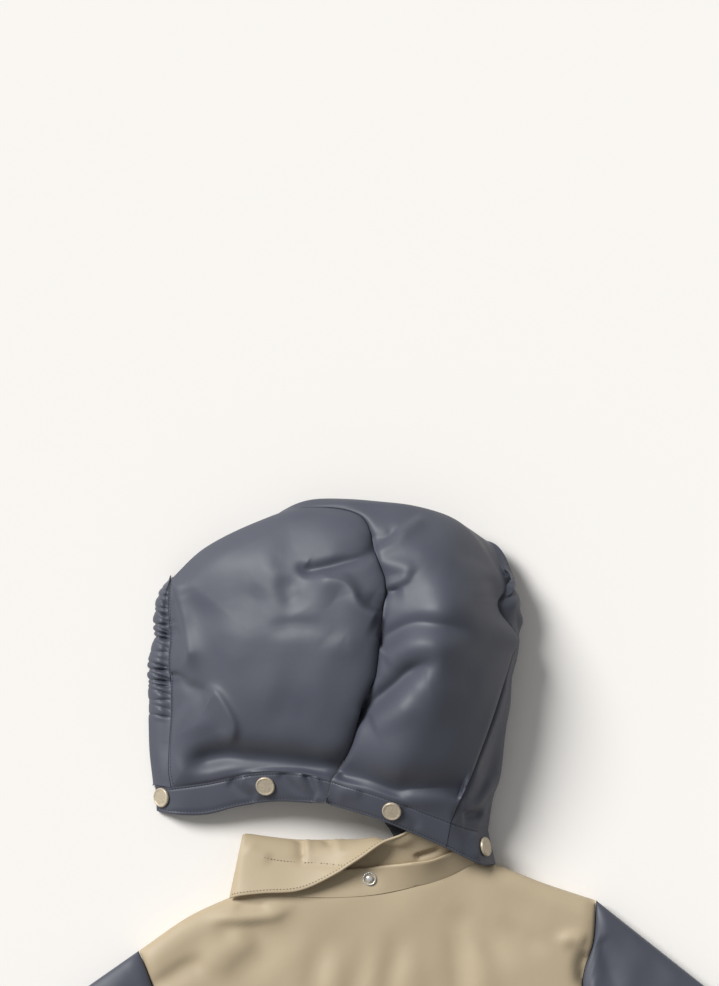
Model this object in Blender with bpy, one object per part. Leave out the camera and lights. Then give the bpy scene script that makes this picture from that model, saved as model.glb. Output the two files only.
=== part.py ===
"""A child's padded jacket laid flat on its front, back up, with a detachable three-panel hood.

The hood is unsnapped from the neck along its left half and lies above the collar, whose left
half is turned down over the neck band. Tables are in millimetres from the middle of the back
neck seam, +X to the viewer's right, +Y from the hem towards the hood, +Z up from the surface
that the jacket lies on. ORIGIN moves that point to the middle of the front placket.
"""

import math

import bpy
import numpy as np

MM = 0.001
ORIGIN = np.array((3.0, 200.0, 0.0))  # the front placket's middle, under the chest
UP = np.array((0.0, 0.0, 1.0))

# Cloth thicknesses. Padding swells each panel and the seams pinch it.
SEAM_GAP = 0.3
HOOD_SEAM_GAP = 0.56
BODY_PLY = 9.7  # one padded body panel
SEAM_PLY = 2.5  # the hood's panels at their seams
HOOD_PLY = 6.0
BAND_PLY = 4.0
COLLAR_PLY = 3.2
COLLAR_FRONT_PLY = 6.2

# Body, both padded layers together.
BODY_TOP = 2 * BODY_PLY + SEAM_GAP + 0.3
LAYER_Z = BODY_PLY  # top of the lower layer
EDGE_RISE = 2.6  # height of the seamed edge that each layer shows
CENTRE_X = -3.0
PLACKET_WIDTH = 30.0
HEM_Y = -480.0
FRONT_NECK_Y = -52.0

# Left side seam, armhole and shoulder, then the neck seam, then the right side.
SIDE_LEFT = ((-214, -478), (-208, -330), (-203, -188))
ARMHOLE_LEFT = ((-203, -188), (-176, -158), (-161, -112), (-160, -74), (-164, -42), (-170, -21))
SHOULDER_LEFT = ((-170, -21), (-133, -1), (-101, 10), (-88, 14))
NECK_SEAM = ((-88, 14), (-66, 8.5), (-34, 3), (0, 1), (34, 4), (60, 10), (82, 17))
SHOULDER_RIGHT = ((82, 17), (96, 11), (124, -4), (161, -21))
ARMHOLE_RIGHT = ((197, -188), (168, -158), (148, -115), (145, -78), (156, -50), (161, -21))
SIDE_RIGHT = ((208, -478), (202, -330), (197, -188))
FRONT_NECK_LEFT = ((-88, 14), (-66, -20), (-40, -42), (-18, -50))
FRONT_NECK_RIGHT = ((12, -50), (34, -42), (60, -18), (82, 17))

# How the upper face drops towards each kind of edge: (edge, drop, radius of the rounding).
EDGE_DROPS = (
    ("side", 7.6, 18.0),
    ("shoulder", 7.6, 15.0),
    ("armhole", 4.6, 11.0),
    ("hem", 4.6, 12.0),
)
FRONT_EDGE_RADIUS = 12.0  # rounding of the fronts' lower face

# Sleeves: upper and lower corner of the cuff, and how far the sleeve bows upwards.
SLEEVES = {
    "sleeve_left": {"cuff_top": (-487, -214), "cuff_low": (-432, -302), "bow": 7.0},
    "sleeve_right": {"cuff_top": (424, -300), "cuff_low": (346, -368), "bow": 7.0},
}
SLEEVE_STATIONS = (0.0, 0.03, 0.09, 0.2, 0.33, 0.46, 0.58, 0.7, 0.8, 0.88, 0.94, 0.97, 1.0)
SLEEVE_TOP = 20.4
UNDERARM_CURVE = 3.0
UNDERARM_REACH = 0.06
SLEEVE_LENGTH = 390.0
SLEEVE_EDGE_DROP = 6.4
SLEEVE_EDGE_RADIUS = 18.0
SLEEVE_SIDE_WALL = 4.0
ARMHOLE_DROP = 4.6
CUFF_DROP = 3.4
END_RADIUS = 12.0
CUFF_HEM = 28.0  # from the cuff's edge to its stitching
HEM_STITCH_DIP = 1.4
HEM_STITCH_WIDTH = 5.0
SLIT = 0.8  # height of the flat hollow inside a sleeve
CUFF_GAPE = 3.0  # height of the cuff's mouth
CUFF_GAPE_LENGTH = 40.0

# Collar, on its facing side from left to right: (seam x and z, roll x y z, free edge x y z, curl).
COLLAR_STATIONS = (
    ((-89, 8.0), (-86, 54, 10.0), (-101, 10, 19), 1.0),
    ((-80, 12.5), (-82, 54, 10.0), (-94, 11, 24), 1.0),
    ((-64, 13.8), (-66, 50, 10), (-76, 11, 26), 1.0),
    ((-44, 13.8), (-47, 46, 10), (-52, 10, 27), 1.0),
    ((-22, 13.8), (-25, 43.5, 11), (-31, 16, 29), 1.0),
    ((-2, 13.8), (-5, 41.5, 15), (-6, 28, 33), 0.9),
    ((14, 13.8), (10, 40.5, 21), (13, 38.5, 36), 0.6),
    ((30, 13.8), (26, 32, 25), (30, 43.5, 37), 0.2),
    ((48, 13.8), (47, 33, 27), (48, 55, 37), 0.0),
    ((62, 13.8), (64, 34, 25), (64, 55, 33), 0.0),
    ((74, 12.5), (77, 32, 19), (77, 46, 23), 0.0),
    ((80, 9.5), (82, 27, 13), (82, 37, 15), 0.0),
)
COLLAR_SAG = 2.5  # below the roll, and the bulge above it
COLLAR_BULGE = 4.5
COLLAR_FRONT_TOP = ((-94, 32), (-66, 24), (-34, 20), (0, 18), (34, 20), (60, 22), (80, 26))
COLLAR_FRONT_LIFT = 6.9  # where it passes over the end of the hood's band
COLLAR_FRONT_THIN = 2.7
NECK_BAND_WIDTH = 18.0
NECK_BAND_STATIONS = (1.5, 10.0)
NECK_BAND_PLY = 2.8
NECK_BAND_GAP = 0.5

# Hood: seam between left and centre panel, ridge of the centre panel, seam to the right panel.
# The last five rows run on over the crown and under the hood to the forehead.
HOOD_STATIONS = (
    ((-19, 86, 46), (22, 68, 54), (64, 47, 48)),
    ((-4, 106, 56), (34, 90, 69), (79, 70, 52)),
    ((7, 131, 62), (48, 118, 78), (97, 104, 50)),
    ((20, 155, 66), (62, 146, 84), (111, 130, 45)),
    ((29, 190, 67), (74, 178, 85), (126, 163, 34)),
    ((35, 218, 64), (82, 208, 78), (121, 193, 38)),
    ((32, 245, 57), (82, 238, 62), (127, 213, 24)),
    ((20, 275, 42), (66, 269, 32), (109, 240, 5)),
    ((-16, 282, 31), (1, 286, 20), (62, 230, 0)),
    ((-52, 277, 25), (-42, 266, 4), (22, 223, 0)),
    ((-92, 263, 18), (-70, 246, 0), (-10, 218, 0)),
    ((-118, 242, 12), (-84, 229, 0), (-40, 215, 0)),
)
CROWN_ROW = 7  # where the left panel's upper corner is
BACK_ROW = 6  # where the right panel's upper corner is

# Right panel: side, floor and face points of each row, from the neck up to BACK_ROW.
HOOD_RIGHT_ROWS = (
    ((87, 38, 30), (89, 37, 7), (68, 37, 2.8), (50, 37, 2.8), (34, 37, 2.8)),
    ((101, 72, 28), (92, 68, 2), (67, 66, 0), (45, 64, 0), (24, 62, 0)),
    ((112, 104, 26), (98, 102, 1), (66, 100, 0), (38, 98, 0), (10, 92, 0)),
    ((120, 133, 24), (102, 134, 0), (66, 132, 0), (30, 130, 0), (-4, 124, 0)),
    ((127, 165, 20), (104, 166, 0), (66, 164, 0), (26, 162, 0), (-17, 154, 0)),
    ((128, 195, 20), (106, 202, 0), (66, 198, 0), (24, 192, 0), (-29, 186, 0)),
)

# Left panel's free sides: neck line and the casing's seam.
HOOD_LEFT_NECK = ((-134, 93, 8), (-106, 94, 19), (-74, 97, 30), (-43, 94, 40), (-19, 86, 46))
CASING_SEAM = ((-134, 93, 8), (-136, 122, 10), (-134, 150, 11), (-131, 180, 11), (-126, 212, 11),
               (-118, 242, 12))
CASING_EDGE = ((-145, 96, 5), (-145, 120, 5), (-143, 145, 5), (-140, 168, 5), (-139, 184, 5),
               (-133, 200, 5), (-131, 216, 5), (-127, 234, 5), (-121, 245, 6))
HOOD_LEFT_PUFF = 20.0

# Folds of the hood: (x, y, heading in degrees, half length, half width, height).
HOOD_LEFT_FOLDS = (
    (-62, 106, 0, 62, 8, -5.0),
    (-106, 146, -50, 20, 13, 5.0),
    (-3, 235, 6, 26, 7, -7.0),
    (13, 214, -45, 22, 6, 4.0),
    (-112, 201, -82, 24, 6, 4.0),
    (-74, 132, 62, 24, 8, -2.5),
    (-60, 200, 35, 46, 22, 3.0),
)
HOOD_CENTRE_FOLDS = (
    (42, 158, 21, 24, 6, -4.0),
    (38, 174, 15, 18, 10, 3.0),
    (66, 192, -6, 34, 8, -3.0),
    (32, 138, 20, 22, 10, 3.0),
    (48, 252, -40, 30, 8, 2.5),
)
# Gathers of the face casing: (distance along the casing from the neck, width, depth).
GATHERS = (
    (62, 5, 2.0), (72, 4, 3.2), (79, 4, 3.6), (88, 5, 1.8), (97, 4, 2.6), (106, 4, 3.6),
    (112, 4, 3.8), (119, 4, 2.6), (128, 5, 1.6), (136, 4, 2.2), (144, 5, 1.6),
)
# Section of the casing: (share of its width from the seam, crest).
CASING_PROFILE = ((0.0, 0.0), (0.25, 2.0), (0.5, 2.6), (0.75, 1.2), (0.93, -0.6), (1.0, -1.8))
GATHER_DRAW = 0.35  # how far a gather draws the edge in, for its depth
GATHER_SINK = 0.9

# Casing of the forehead and of the far side of the face, on the floor under the hood.
FAR_CASING_LINE = ((-112, 234, 0), (-78, 226, 0), (-42, 213, 0), (-30, 184, 0), (-18, 152, 0),
                   (-5, 122, 0), (9, 90, 0), (23, 60, 0), (33, 38, 0))
FAR_CASING_GAP = 0.4
FAR_CASING_WIDTH = 11.4
FAR_CASING_TOP = 4.6

# Hood's neck band, lower edge of each length, and its two free ends.
BAND_LEFT_LOW = ((-146, 78, 4.6), (-132, 74, 6), (-111, 72, 11), (-86, 75, 19), (-60, 75.5, 26),
                 (-24, 70, 37))
BAND_LEFT_END = ((-145, 96, 5), (-134, 93, 8))
BAND_CENTRE_LOW = ((-24, 70, 37), (15, 53, 45), (58, 29, 41))
BAND_RIGHT_LOW = ((58, 29, 41), (84, 15, 31), (93, 16, 7), (70, 18, 2.8), (52, 19, 2.8),
                  (36, 20, 2.8))

# Snaps. Those of the hood: (length of its band, share along it, share of the way from its
# middle to its upper seam).
HOOD_SNAPS = (("band_left", 0.045, 0.12), ("band_left", 0.638, 0.1), ("band_centre", 0.52, 0.12),
              ("band_right", 0.3, 0.0), ("band_right", 0.92, 0.0))
CAP_RADIUS = 7.0
CAP_HEIGHT = 2.2
CAP_SEAT = 0.4
STUD_RADIUS = 4.5
STUD_X = 1.0
STUD_SEAT = 0.3
PLACKET_SNAPS = 5
PLACKET_SNAP_FIRST_Y = -84.0
PLACKET_SNAP_PITCH = 88.0

# Soft folds of the back panel and the sleeves: same columns as the hood's.
BACK_FOLDS = (
    (-96, -14, -8, 34, 9, -2.0),
    (-56, -62, 80, 46, 16, -1.8),
    (-10, -54, 86, 40, 12, 1.6),
    (44, -52, 84, 44, 16, -1.8),
    (128, -46, 60, 20, 9, 2.2),
    (143, -58, 72, 18, 5, -3.2),
    (-146, -60, 62, 24, 8, -2.6),
    (-128, -42, 55, 26, 9, 1.8),
    (-60, -250, 84, 90, 24, 1.6),
    (70, -300, 96, 80, 26, -1.6),
    (0, -400, 4, 120, 14, 1.4),
)

SAMPLES = 3  # surface samples between two neighbouring hood stations
COLLAR_SAMPLES = 2
SHOULDER_SAMPLES = 6
FRONT_NECK_SAMPLES = 6


def clear_scene():
    for item in list(bpy.data.objects):
        bpy.data.objects.remove(item)


def make_material(name, colour, roughness, metallic=0.0):
    made = bpy.data.materials.new(name)
    made.use_nodes = True
    shader = made.node_tree.nodes["Principled BSDF"]
    shader.inputs["Base Color"].default_value = (*colour, 1.0)
    shader.inputs["Roughness"].default_value = roughness
    shader.inputs["Metallic"].default_value = metallic
    made.diffuse_color = (*colour, 1.0)
    return made


def catmull_rom(points, per):
    """Points of a uniform Catmull-Rom curve along axis 0, with per samples in each interval."""
    points = np.asarray(points, float)
    before = 2 * points[:1] - points[1:2]
    after = 2 * points[-1:] - points[-2:-1]
    padded = np.concatenate((before, points, after))
    rows = []
    for index in range(len(points) - 1):
        a, b, c, d = padded[index:index + 4]
        for step in range(per):
            t = step / per
            rows.append(b + 0.5 * t * (c - a + t * (2 * a - 5 * b + 4 * c - d
                                                    + t * (3 * (b - c) + d - a))))
    rows.append(points[-1])
    return np.array(rows)


def along(points, fractions):
    """Points of the smooth curve through points, at fractions of its length."""
    fine = catmull_rom(points, 24)
    steps = np.linalg.norm(np.diff(fine, axis=0), axis=1)
    reached = np.concatenate(((0.0,), np.cumsum(steps))) / steps.sum()
    return np.stack([np.interp(fractions, reached, fine[:, k]) for k in range(fine.shape[1])], 1)


def spread(count, crowding=0.0):
    """Fractions from 0 to 1, crowded towards both ends."""
    even = np.linspace(0, 1, count)
    return even - crowding * np.sin(2 * math.pi * even) / (2 * math.pi)


def coons(bottom, top, left, right):
    """The grid between four boundary curves, rows from bottom to top."""
    u = np.linspace(0, 1, len(left))[:, None, None]
    v = np.linspace(0, 1, len(bottom))[None, :, None]
    ruled = (1 - u) * bottom[None] + u * top[None] + (1 - v) * left[:, None] + v * right[:, None]
    corners = ((1 - u) * ((1 - v) * bottom[0] + v * bottom[-1])
               + u * ((1 - v) * top[0] + v * top[-1]))
    return ruled - corners


def relief(x, y, folds):
    """Height that the folds add at plan positions x, y."""
    height = np.zeros_like(x)
    for fold_x, fold_y, heading, half_length, half_width, rise in folds:
        turn = math.radians(heading)
        along_fold = (x - fold_x) * math.cos(turn) + (y - fold_y) * math.sin(turn)
        across_fold = (y - fold_y) * math.cos(turn) - (x - fold_x) * math.sin(turn)
        height += rise * np.exp(-(along_fold / half_length) ** 2 - (across_fold / half_width) ** 2)
    return height


def unit(vectors):
    length = np.linalg.norm(vectors, axis=-1, keepdims=True)
    return vectors / np.maximum(length, 1e-9)


def grid_normals(grid):
    """Normals of a grid of points, positive where rows x columns turn counter-clockwise."""
    return unit(np.cross(np.gradient(grid, axis=1), np.gradient(grid, axis=0)))


def distance_to(points, *curves):
    """Plan distance from each point to the nearest of some polylines."""
    best = np.full(points.shape[:-1], np.inf)
    for curve in curves:
        for start, end in zip(curve[:-1, :2], curve[1:, :2]):
            run = end - start
            t = np.clip(((points[..., :2] - start) @ run) / (run @ run), 0, 1)
            nearest = start + t[..., None] * run
            best = np.minimum(best, np.linalg.norm(points[..., :2] - nearest, axis=-1))
    return best


def rounding(distance, radius):
    """1 at an edge, falling to 0 at radius from it along a quarter circle."""
    t = np.clip(distance / radius, 0, 1)
    return 1 - np.sqrt(1 - (1 - t) ** 2)


def smooth(value):
    t = np.clip(value, 0, 1)
    return t * t * (3 - 2 * t)


def inward_from(edge, inner, normals):
    """Directions in the sheet, square to its edge and towards the next line inside."""
    square = unit(np.cross(normals, np.gradient(edge, axis=0)))
    return square if np.sum(square * (inner - edge)) > 0 else -square


def draw_in(upper, lower, normals, sides, gap):
    """Both skins of a wall, with the named sides moved in by gap, square to the seams."""
    normals = np.broadcast_to(normals, upper.shape)
    lines = {"left": (slice(None), 0, 1), "right": (slice(None), -1, -2),
             "bottom": (0, slice(None), 1), "top": (-1, slice(None), -2)}
    skins = [upper.copy(), lower.copy()]
    for side in sides:
        row, column, inside = lines[side]
        edge = (row, column)
        inner = (row, inside) if isinstance(row, slice) else (inside, column)
        step = inward_from(upper[edge], upper[inner], normals[edge]) * gap
        for skin in skins:
            skin[edge] += step
    return skins


def outward(vertices, faces):
    """The faces, turned over together where they enclose a negative volume."""
    volume = 0.0
    for face in faces:
        a = vertices[face[0]]
        for b, c in zip(face[1:-1], face[2:]):
            volume += np.dot(a, np.cross(vertices[b], vertices[c]))
    return faces if volume > 0 else [tuple(reversed(face)) for face in faces]


def add_object(name, vertices, faces, finish):
    mesh = bpy.data.meshes.new(name)
    faces = outward(vertices, faces)
    mesh.from_pydata([tuple(point) for point in (vertices + ORIGIN) * MM], [], faces)
    mesh.materials.append(finish)
    mesh.shade_smooth()
    mesh.set_sharp_from_angle(angle=math.radians(50))
    made = bpy.data.objects.new(name, mesh)
    bpy.context.scene.collection.objects.link(made)
    return made


def closed_wall(name, upper, lower, finish):
    """One closed cloth wall between two grids of the same size; upper is its outer side."""
    rows, columns = upper.shape[:2]
    index = np.arange(rows * columns).reshape(rows, columns)
    faces = []
    for row in range(rows - 1):
        for column in range(columns - 1):
            quad = (index[row, column], index[row, column + 1],
                    index[row + 1, column + 1], index[row + 1, column])
            faces.append(tuple(int(k) for k in quad))
            faces.append(tuple(int(k) + rows * columns for k in reversed(quad)))
    ring = [*index[0, :-1], *index[:-1, -1], *index[-1, :0:-1], *index[:0:-1, 0]]
    for start, end in zip(ring, ring[1:] + ring[:1]):
        faces.append((int(end), int(start), int(start) + rows * columns, int(end) + rows * columns))
    vertices = np.concatenate((upper.reshape(-1, 3), lower.reshape(-1, 3)))
    return add_object(name, vertices, faces, finish)


def turned(name, profile, sides, finish, centre, normal):
    """A solid turned from (radius, height) pairs about a normal at centre."""
    axis = unit(np.asarray(normal, float))
    helper = np.array((0.0, 0.0, 1.0)) if abs(axis[2]) < 0.9 else np.array((1.0, 0.0, 0.0))
    across = unit(np.cross(helper, axis))
    other = np.cross(axis, across)
    angles = np.arange(sides) * 2 * math.pi / sides
    ring = np.cos(angles)[:, None] * across + np.sin(angles)[:, None] * other
    centre = np.asarray(centre, float)
    vertices = [centre + profile[0][1] * axis]
    for radius, height in profile[1:-1]:
        vertices.extend(centre + radius * ring + height * axis)
    vertices.append(centre + profile[-1][1] * axis)
    faces = []
    last = len(vertices) - 1
    for side in range(sides):
        after = (side + 1) % sides
        faces.append((0, 1 + after, 1 + side))
        for level in range(len(profile) - 3):
            low = 1 + level * sides
            high = low + sides
            faces.append((low + side, low + after, high + after, high + side))
        top = 1 + (len(profile) - 3) * sides
        faces.append((top + side, top + after, last))
    return add_object(name, np.array(vertices), faces, finish)


def cap_profile():
    """A snap's cap: a flat-bottomed button with a rolled rim and a slightly sunk middle."""
    return ((0, 0), (CAP_RADIUS - 0.5, 0), (CAP_RADIUS, 0.6), (CAP_RADIUS, CAP_HEIGHT - 0.7),
            (CAP_RADIUS - 0.7, CAP_HEIGHT), (CAP_RADIUS - 1.5, CAP_HEIGHT - 0.4), (0, CAP_HEIGHT - 0.3))


def stud_profile():
    """A snap's stud: a raised ring round a ball on a short neck."""
    return ((0, 0), (STUD_RADIUS, 0), (STUD_RADIUS, 0.9), (STUD_RADIUS - 0.8, 1.5),
            (STUD_RADIUS - 1.7, 0.7), (1.5, 0.7), (1.5, 1.6), (2.0, 2.4), (1.5, 3.2), (0, 3.5))


# ---------------------------------------------------------------- body


def body_outline():
    """The back panel's four boundary curves, with the armhole and neck samples marked out."""
    side_steps = spread(8, 0.3)
    arm_steps = spread(11, 0.5)
    shoulder_steps = spread(SHOULDER_SAMPLES, 0.3)
    neck_steps = spread(11)
    left = np.concatenate((along(SIDE_LEFT, side_steps), along(ARMHOLE_LEFT, arm_steps)[1:]))
    right = np.concatenate((along(SIDE_RIGHT, side_steps), along(ARMHOLE_RIGHT, arm_steps)[1:]))
    top = np.concatenate((along(SHOULDER_LEFT, shoulder_steps), along(NECK_SEAM, neck_steps)[1:],
                          along(SHOULDER_RIGHT, shoulder_steps)[1:]))
    hem_line = np.array((left[0], (CENTRE_X, HEM_Y), right[0]))
    shares = np.concatenate(((0.0,), np.cumsum(np.linalg.norm(np.diff(top, axis=0), axis=1))))
    bottom = along(hem_line, shares / shares[-1])
    return bottom, top, left, right, len(side_steps) - 1


def body_height(grid, edges):
    """Height of the upper face over the jacket's body: padding, edge roundings and folds."""
    height = np.full(grid.shape[:2], BODY_TOP)
    for edge, drop, radius in EDGE_DROPS:
        height -= drop * rounding(distance_to(grid, *edges[edge]), radius)
    height += relief(grid[..., 0], grid[..., 1], BACK_FOLDS)
    lowest = LAYER_Z + SEAM_GAP + EDGE_RISE
    return np.maximum(height, lowest)


def with_z(plan, z):
    return np.concatenate((plan[..., :2], np.broadcast_to(z, plan.shape[:-1])[..., None]), axis=-1)


def build_back(finish):
    bottom, top, left, right, underarm = body_outline()
    grid = coons(bottom, top, left, right)
    # The outermost rows and columns move out, so that the rounded edges get more faces.
    grid[:, 1] = 0.45 * grid[:, 1] + 0.55 * grid[:, 0]
    grid[:, -2] = 0.45 * grid[:, -2] + 0.55 * grid[:, -1]
    edges = {
        "side": (left[:underarm + 1], right[:underarm + 1]),
        "armhole": (left[underarm:], right[underarm:]),
        "shoulder": (top[:SHOULDER_SAMPLES], top[-SHOULDER_SAMPLES:]),
        "hem": (bottom,),
    }
    upper = with_z(grid, body_height(grid, edges))
    lower = with_z(grid, LAYER_Z + SEAM_GAP)
    skins = draw_in(upper, lower, UP, ("left", "right", "top"), SEAM_GAP / 2)
    return closed_wall("back_panel", *skins, finish)


def build_front(name, neck, shoulder, flank, edge_x, finish):
    """One front on the floor: flank is its side seam and armhole, edge_x its placket edge."""
    shoulder_steps = spread(4)
    neck_steps = spread(FRONT_NECK_SAMPLES)
    if name == "front_left":
        top = np.concatenate((along(shoulder, shoulder_steps), along(neck, neck_steps)[1:]))
    else:
        top = np.concatenate((along(neck, neck_steps), along(shoulder, shoulder_steps)[1:]))
    placket_top = top[-1, 1] if name == "front_left" else top[0, 1]
    placket = np.stack((np.full(len(flank), edge_x),
                        np.linspace(HEM_Y, placket_top, len(flank))), 1)
    left, right = (flank, placket) if name == "front_left" else (placket, flank)
    bottom = np.linspace(left[0], right[0], len(top))
    grid = coons(bottom, top, left, right)
    outer = 0 if name == "front_left" else -1
    inner = 1 if name == "front_left" else -2
    grid[:, inner] = 0.35 * grid[:, inner] + 0.65 * grid[:, outer]
    reach = distance_to(grid, flank, along(shoulder, shoulder_steps))
    upper = with_z(grid, LAYER_Z)
    lower = with_z(grid, (LAYER_Z - EDGE_RISE) * rounding(reach, FRONT_EDGE_RADIUS))
    skins = draw_in(upper, lower, UP, ("left", "right", "top"), SEAM_GAP / 2)
    return closed_wall(name, *skins, finish)


def build_placket(finish, cap_finish):
    """The strip between the fronts, with the closure's caps set flush in its underside."""
    half = PLACKET_WIDTH / 2 - SEAM_GAP
    top_y = FRONT_NECK_Y + 1.0
    plan = np.array([[(CENTRE_X - half, HEM_Y), (CENTRE_X + half, HEM_Y)],
                     [(CENTRE_X - half, top_y), (CENTRE_X + half, top_y)]])
    placket = closed_wall("front_placket", with_z(plan, LAYER_Z), with_z(plan, 0.0), finish)
    for number in range(PLACKET_SNAPS):
        y = PLACKET_SNAP_FIRST_Y - number * PLACKET_SNAP_PITCH
        cutter = turned(f"cutter_{number + 1}", ((0, -2), (CAP_RADIUS + 0.4, -2),
                        (CAP_RADIUS + 0.4, CAP_HEIGHT + 0.4), (0, CAP_HEIGHT + 0.4)), 12, finish,
                        (CENTRE_X, y, 0), (0, 0, 1))
        cutter.hide_render = True
        cutter.display_type = "WIRE"
        cut = placket.modifiers.new(f"pocket_{number + 1}", "BOOLEAN")
        cut.operation = "DIFFERENCE"
        cut.object = cutter
        turned(f"placket_snap_{number + 1}", cap_profile(), 12, cap_finish,
               (CENTRE_X, y, CAP_HEIGHT), (0, 0, -1))
    return placket


# ---------------------------------------------------------------- sleeves


def sleeve_plan(armhole, cuff_top, cuff_low, bow):
    """Grid of plan points, a row for each station from the armhole to the cuff."""
    count = len(armhole)
    cross = np.linspace(0, 1, count)[:, None]
    top, low = armhole[-1], armhole[0]
    cuff_top, cuff_low = np.array(cuff_top, float), np.array(cuff_low, float)
    seam_bend = armhole[::-1] - (top + cross * (low - top))
    rows = []
    for s in SLEEVE_STATIONS:
        start = top + s * (cuff_top - top)
        end = low + s * (cuff_low - low)
        outward = unit(start - end)
        curve = UNDERARM_CURVE * (s / UNDERARM_REACH) * math.exp(1 - s / UNDERARM_REACH)
        start = start + outward * bow * math.sin(math.pi * s)
        end = end + outward * (0.6 * bow * math.sin(math.pi * s) + curve)
        rows.append(start + cross * (end - start) + seam_bend * (1 - s) ** 3)
    return np.array(rows)


def build_sleeve(name, armhole, finish):
    """A flattened tube: outer loop over and under, inner loop a thin slit that gapes at the cuff."""
    size = SLEEVES[name]
    plan = sleeve_plan(armhole, size["cuff_top"], size["cuff_low"], size["bow"])
    flat = with_z(plan[:2], 0.0)
    plan[0] += inward_from(flat[0], flat[1], UP)[:, :2] * SEAM_GAP
    rows, columns = plan.shape[:2]
    crowded = spread(columns, 0.75)
    even = np.linspace(0, 1, columns)
    plan[1:] = np.stack([np.stack([np.interp(crowded, even, line[:, k]) for k in range(2)], 1)
                         for line in plan[1:]])
    width = np.linalg.norm(plan[:, -1] - plan[:, 0], axis=1)[:, None]
    across = np.linalg.norm(plan - plan[:, :1], axis=-1)
    to_edge = np.minimum(across, width - across)
    stations = np.array(SLEEVE_STATIONS)[:, None]
    from_armhole, from_cuff = stations * SLEEVE_LENGTH, (1 - stations) * SLEEVE_LENGTH
    groove = (ARMHOLE_DROP * rounding(from_armhole, END_RADIUS)
              + CUFF_DROP * rounding(from_cuff, END_RADIUS)
              + HEM_STITCH_DIP * np.exp(-((from_cuff - CUFF_HEM) / HEM_STITCH_WIDTH) ** 2))
    upper_z = SLEEVE_TOP - SLEEVE_EDGE_DROP * rounding(to_edge, SLEEVE_EDGE_RADIUS) - groove
    lower_z = (LAYER_Z - 2.2) * rounding(to_edge, END_RADIUS)
    gape = SLIT + (CUFF_GAPE - SLIT) * smooth(1 - from_cuff / CUFF_GAPE_LENGTH)
    middle = 0.5 * (plan[:, :1] + plan[:, -1:])
    inner = middle + (plan - middle) * (1 - 2 * SLEEVE_SIDE_WALL / width)[:, :, None]
    hollow = SLIT / 4 + 0.5 * gape * np.sqrt(np.clip(1 - (2 * across / width - 1) ** 4, 0, 1))
    centre_z = LAYER_Z + SEAM_GAP / 2
    loops = (
        with_z(plan, np.maximum(upper_z, centre_z + CUFF_GAPE)), with_z(plan, lower_z)[:, ::-1],
        with_z(inner, centre_z + hollow), with_z(inner, centre_z - hollow)[:, ::-1],
    )
    outer = np.concatenate(loops[:2], axis=1)
    lining = np.concatenate(loops[2:], axis=1)
    return closed_tube(name, outer, lining, finish)


def closed_tube(name, outer, lining, finish):
    """A tube wall from rings of the same size, open at both ends."""
    rows, columns = outer.shape[:2]
    index = np.arange(rows * columns).reshape(rows, columns)
    shift = rows * columns
    faces = []
    for column in range(columns):
        after = (column + 1) % columns
        for row in range(rows - 1):
            quad = (index[row, column], index[row, after], index[row + 1, after],
                    index[row + 1, column])
            faces.append(tuple(int(k) for k in reversed(quad)))
            faces.append(tuple(int(k) + shift for k in quad))
        start = (index[0, column], index[0, after])
        end = (index[-1, column], index[-1, after])
        faces.append((int(start[0]), int(start[1]), int(start[1]) + shift, int(start[0]) + shift))
        faces.append((int(end[1]), int(end[0]), int(end[0]) + shift, int(end[1]) + shift))
    vertices = np.concatenate((outer.reshape(-1, 3), lining.reshape(-1, 3)))
    return add_object(name, vertices, faces, finish)


# ---------------------------------------------------------------- collar


def neck_y(x):
    """Where the neck seam is at x."""
    seam = along(SHOULDER_LEFT[-2:] + NECK_SEAM[1:-1] + SHOULDER_RIGHT[:2], np.linspace(0, 1, 80))
    return np.interp(x, seam[:, 0], seam[:, 1])


def collar_sheet():
    """Facing side of the collar: rows from the neck seam to the free edge, columns left to right."""
    lines = []
    for (seam_x, seam_z), roll, free, curl in COLLAR_STATIONS:
        seam = np.array((seam_x, neck_y(seam_x) + 2 * SEAM_GAP, seam_z))
        roll, free = np.array(roll, float), np.array(free, float)
        before = seam + (0.5 + 0.32 * curl) * (roll - seam) - (0, 0, COLLAR_SAG * curl)
        after = roll + (0.5 - 0.3 * curl) * (free - roll) + (0, 0, COLLAR_BULGE * curl)
        lines.append((seam, before, roll, after, free))
    across = catmull_rom(np.array(lines), COLLAR_SAMPLES)
    return catmull_rom(np.swapaxes(across, 0, 1), 3)


def build_collar(finish):
    """The collar's wall, cut upright along the neck seam. It returns the garment's outer side."""
    facing = collar_sheet()
    outer = facing + grid_normals(facing) * COLLAR_PLY
    outer[0] = facing[0] + (0, 0, COLLAR_PLY)
    closed_wall("collar", outer, facing, finish)
    return outer


def build_collar_front(finish):
    """The collar's front half, flat under the neck, lifted over the hood's band at its right."""
    steps = spread(FRONT_NECK_SAMPLES)
    neck = np.concatenate((along(FRONT_NECK_LEFT, steps), along(FRONT_NECK_RIGHT, steps)))
    neck = neck + (0, 2 * SEAM_GAP)
    top = along(COLLAR_FRONT_TOP, np.linspace(0, 1, len(neck)))
    left = np.linspace(neck[0], top[0], 8)
    right = np.linspace(neck[-1], top[-1], 8)
    grid = coons(neck, top, left, right)
    raised = smooth((grid[..., 0] + 2) / 14) * smooth((grid[..., 1] + 4) / 14)
    lift = COLLAR_FRONT_LIFT * raised
    ply = COLLAR_FRONT_PLY + (COLLAR_FRONT_THIN - COLLAR_FRONT_PLY) * raised
    return closed_wall("collar_front", with_z(grid, lift + ply), with_z(grid, lift), finish)


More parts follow.
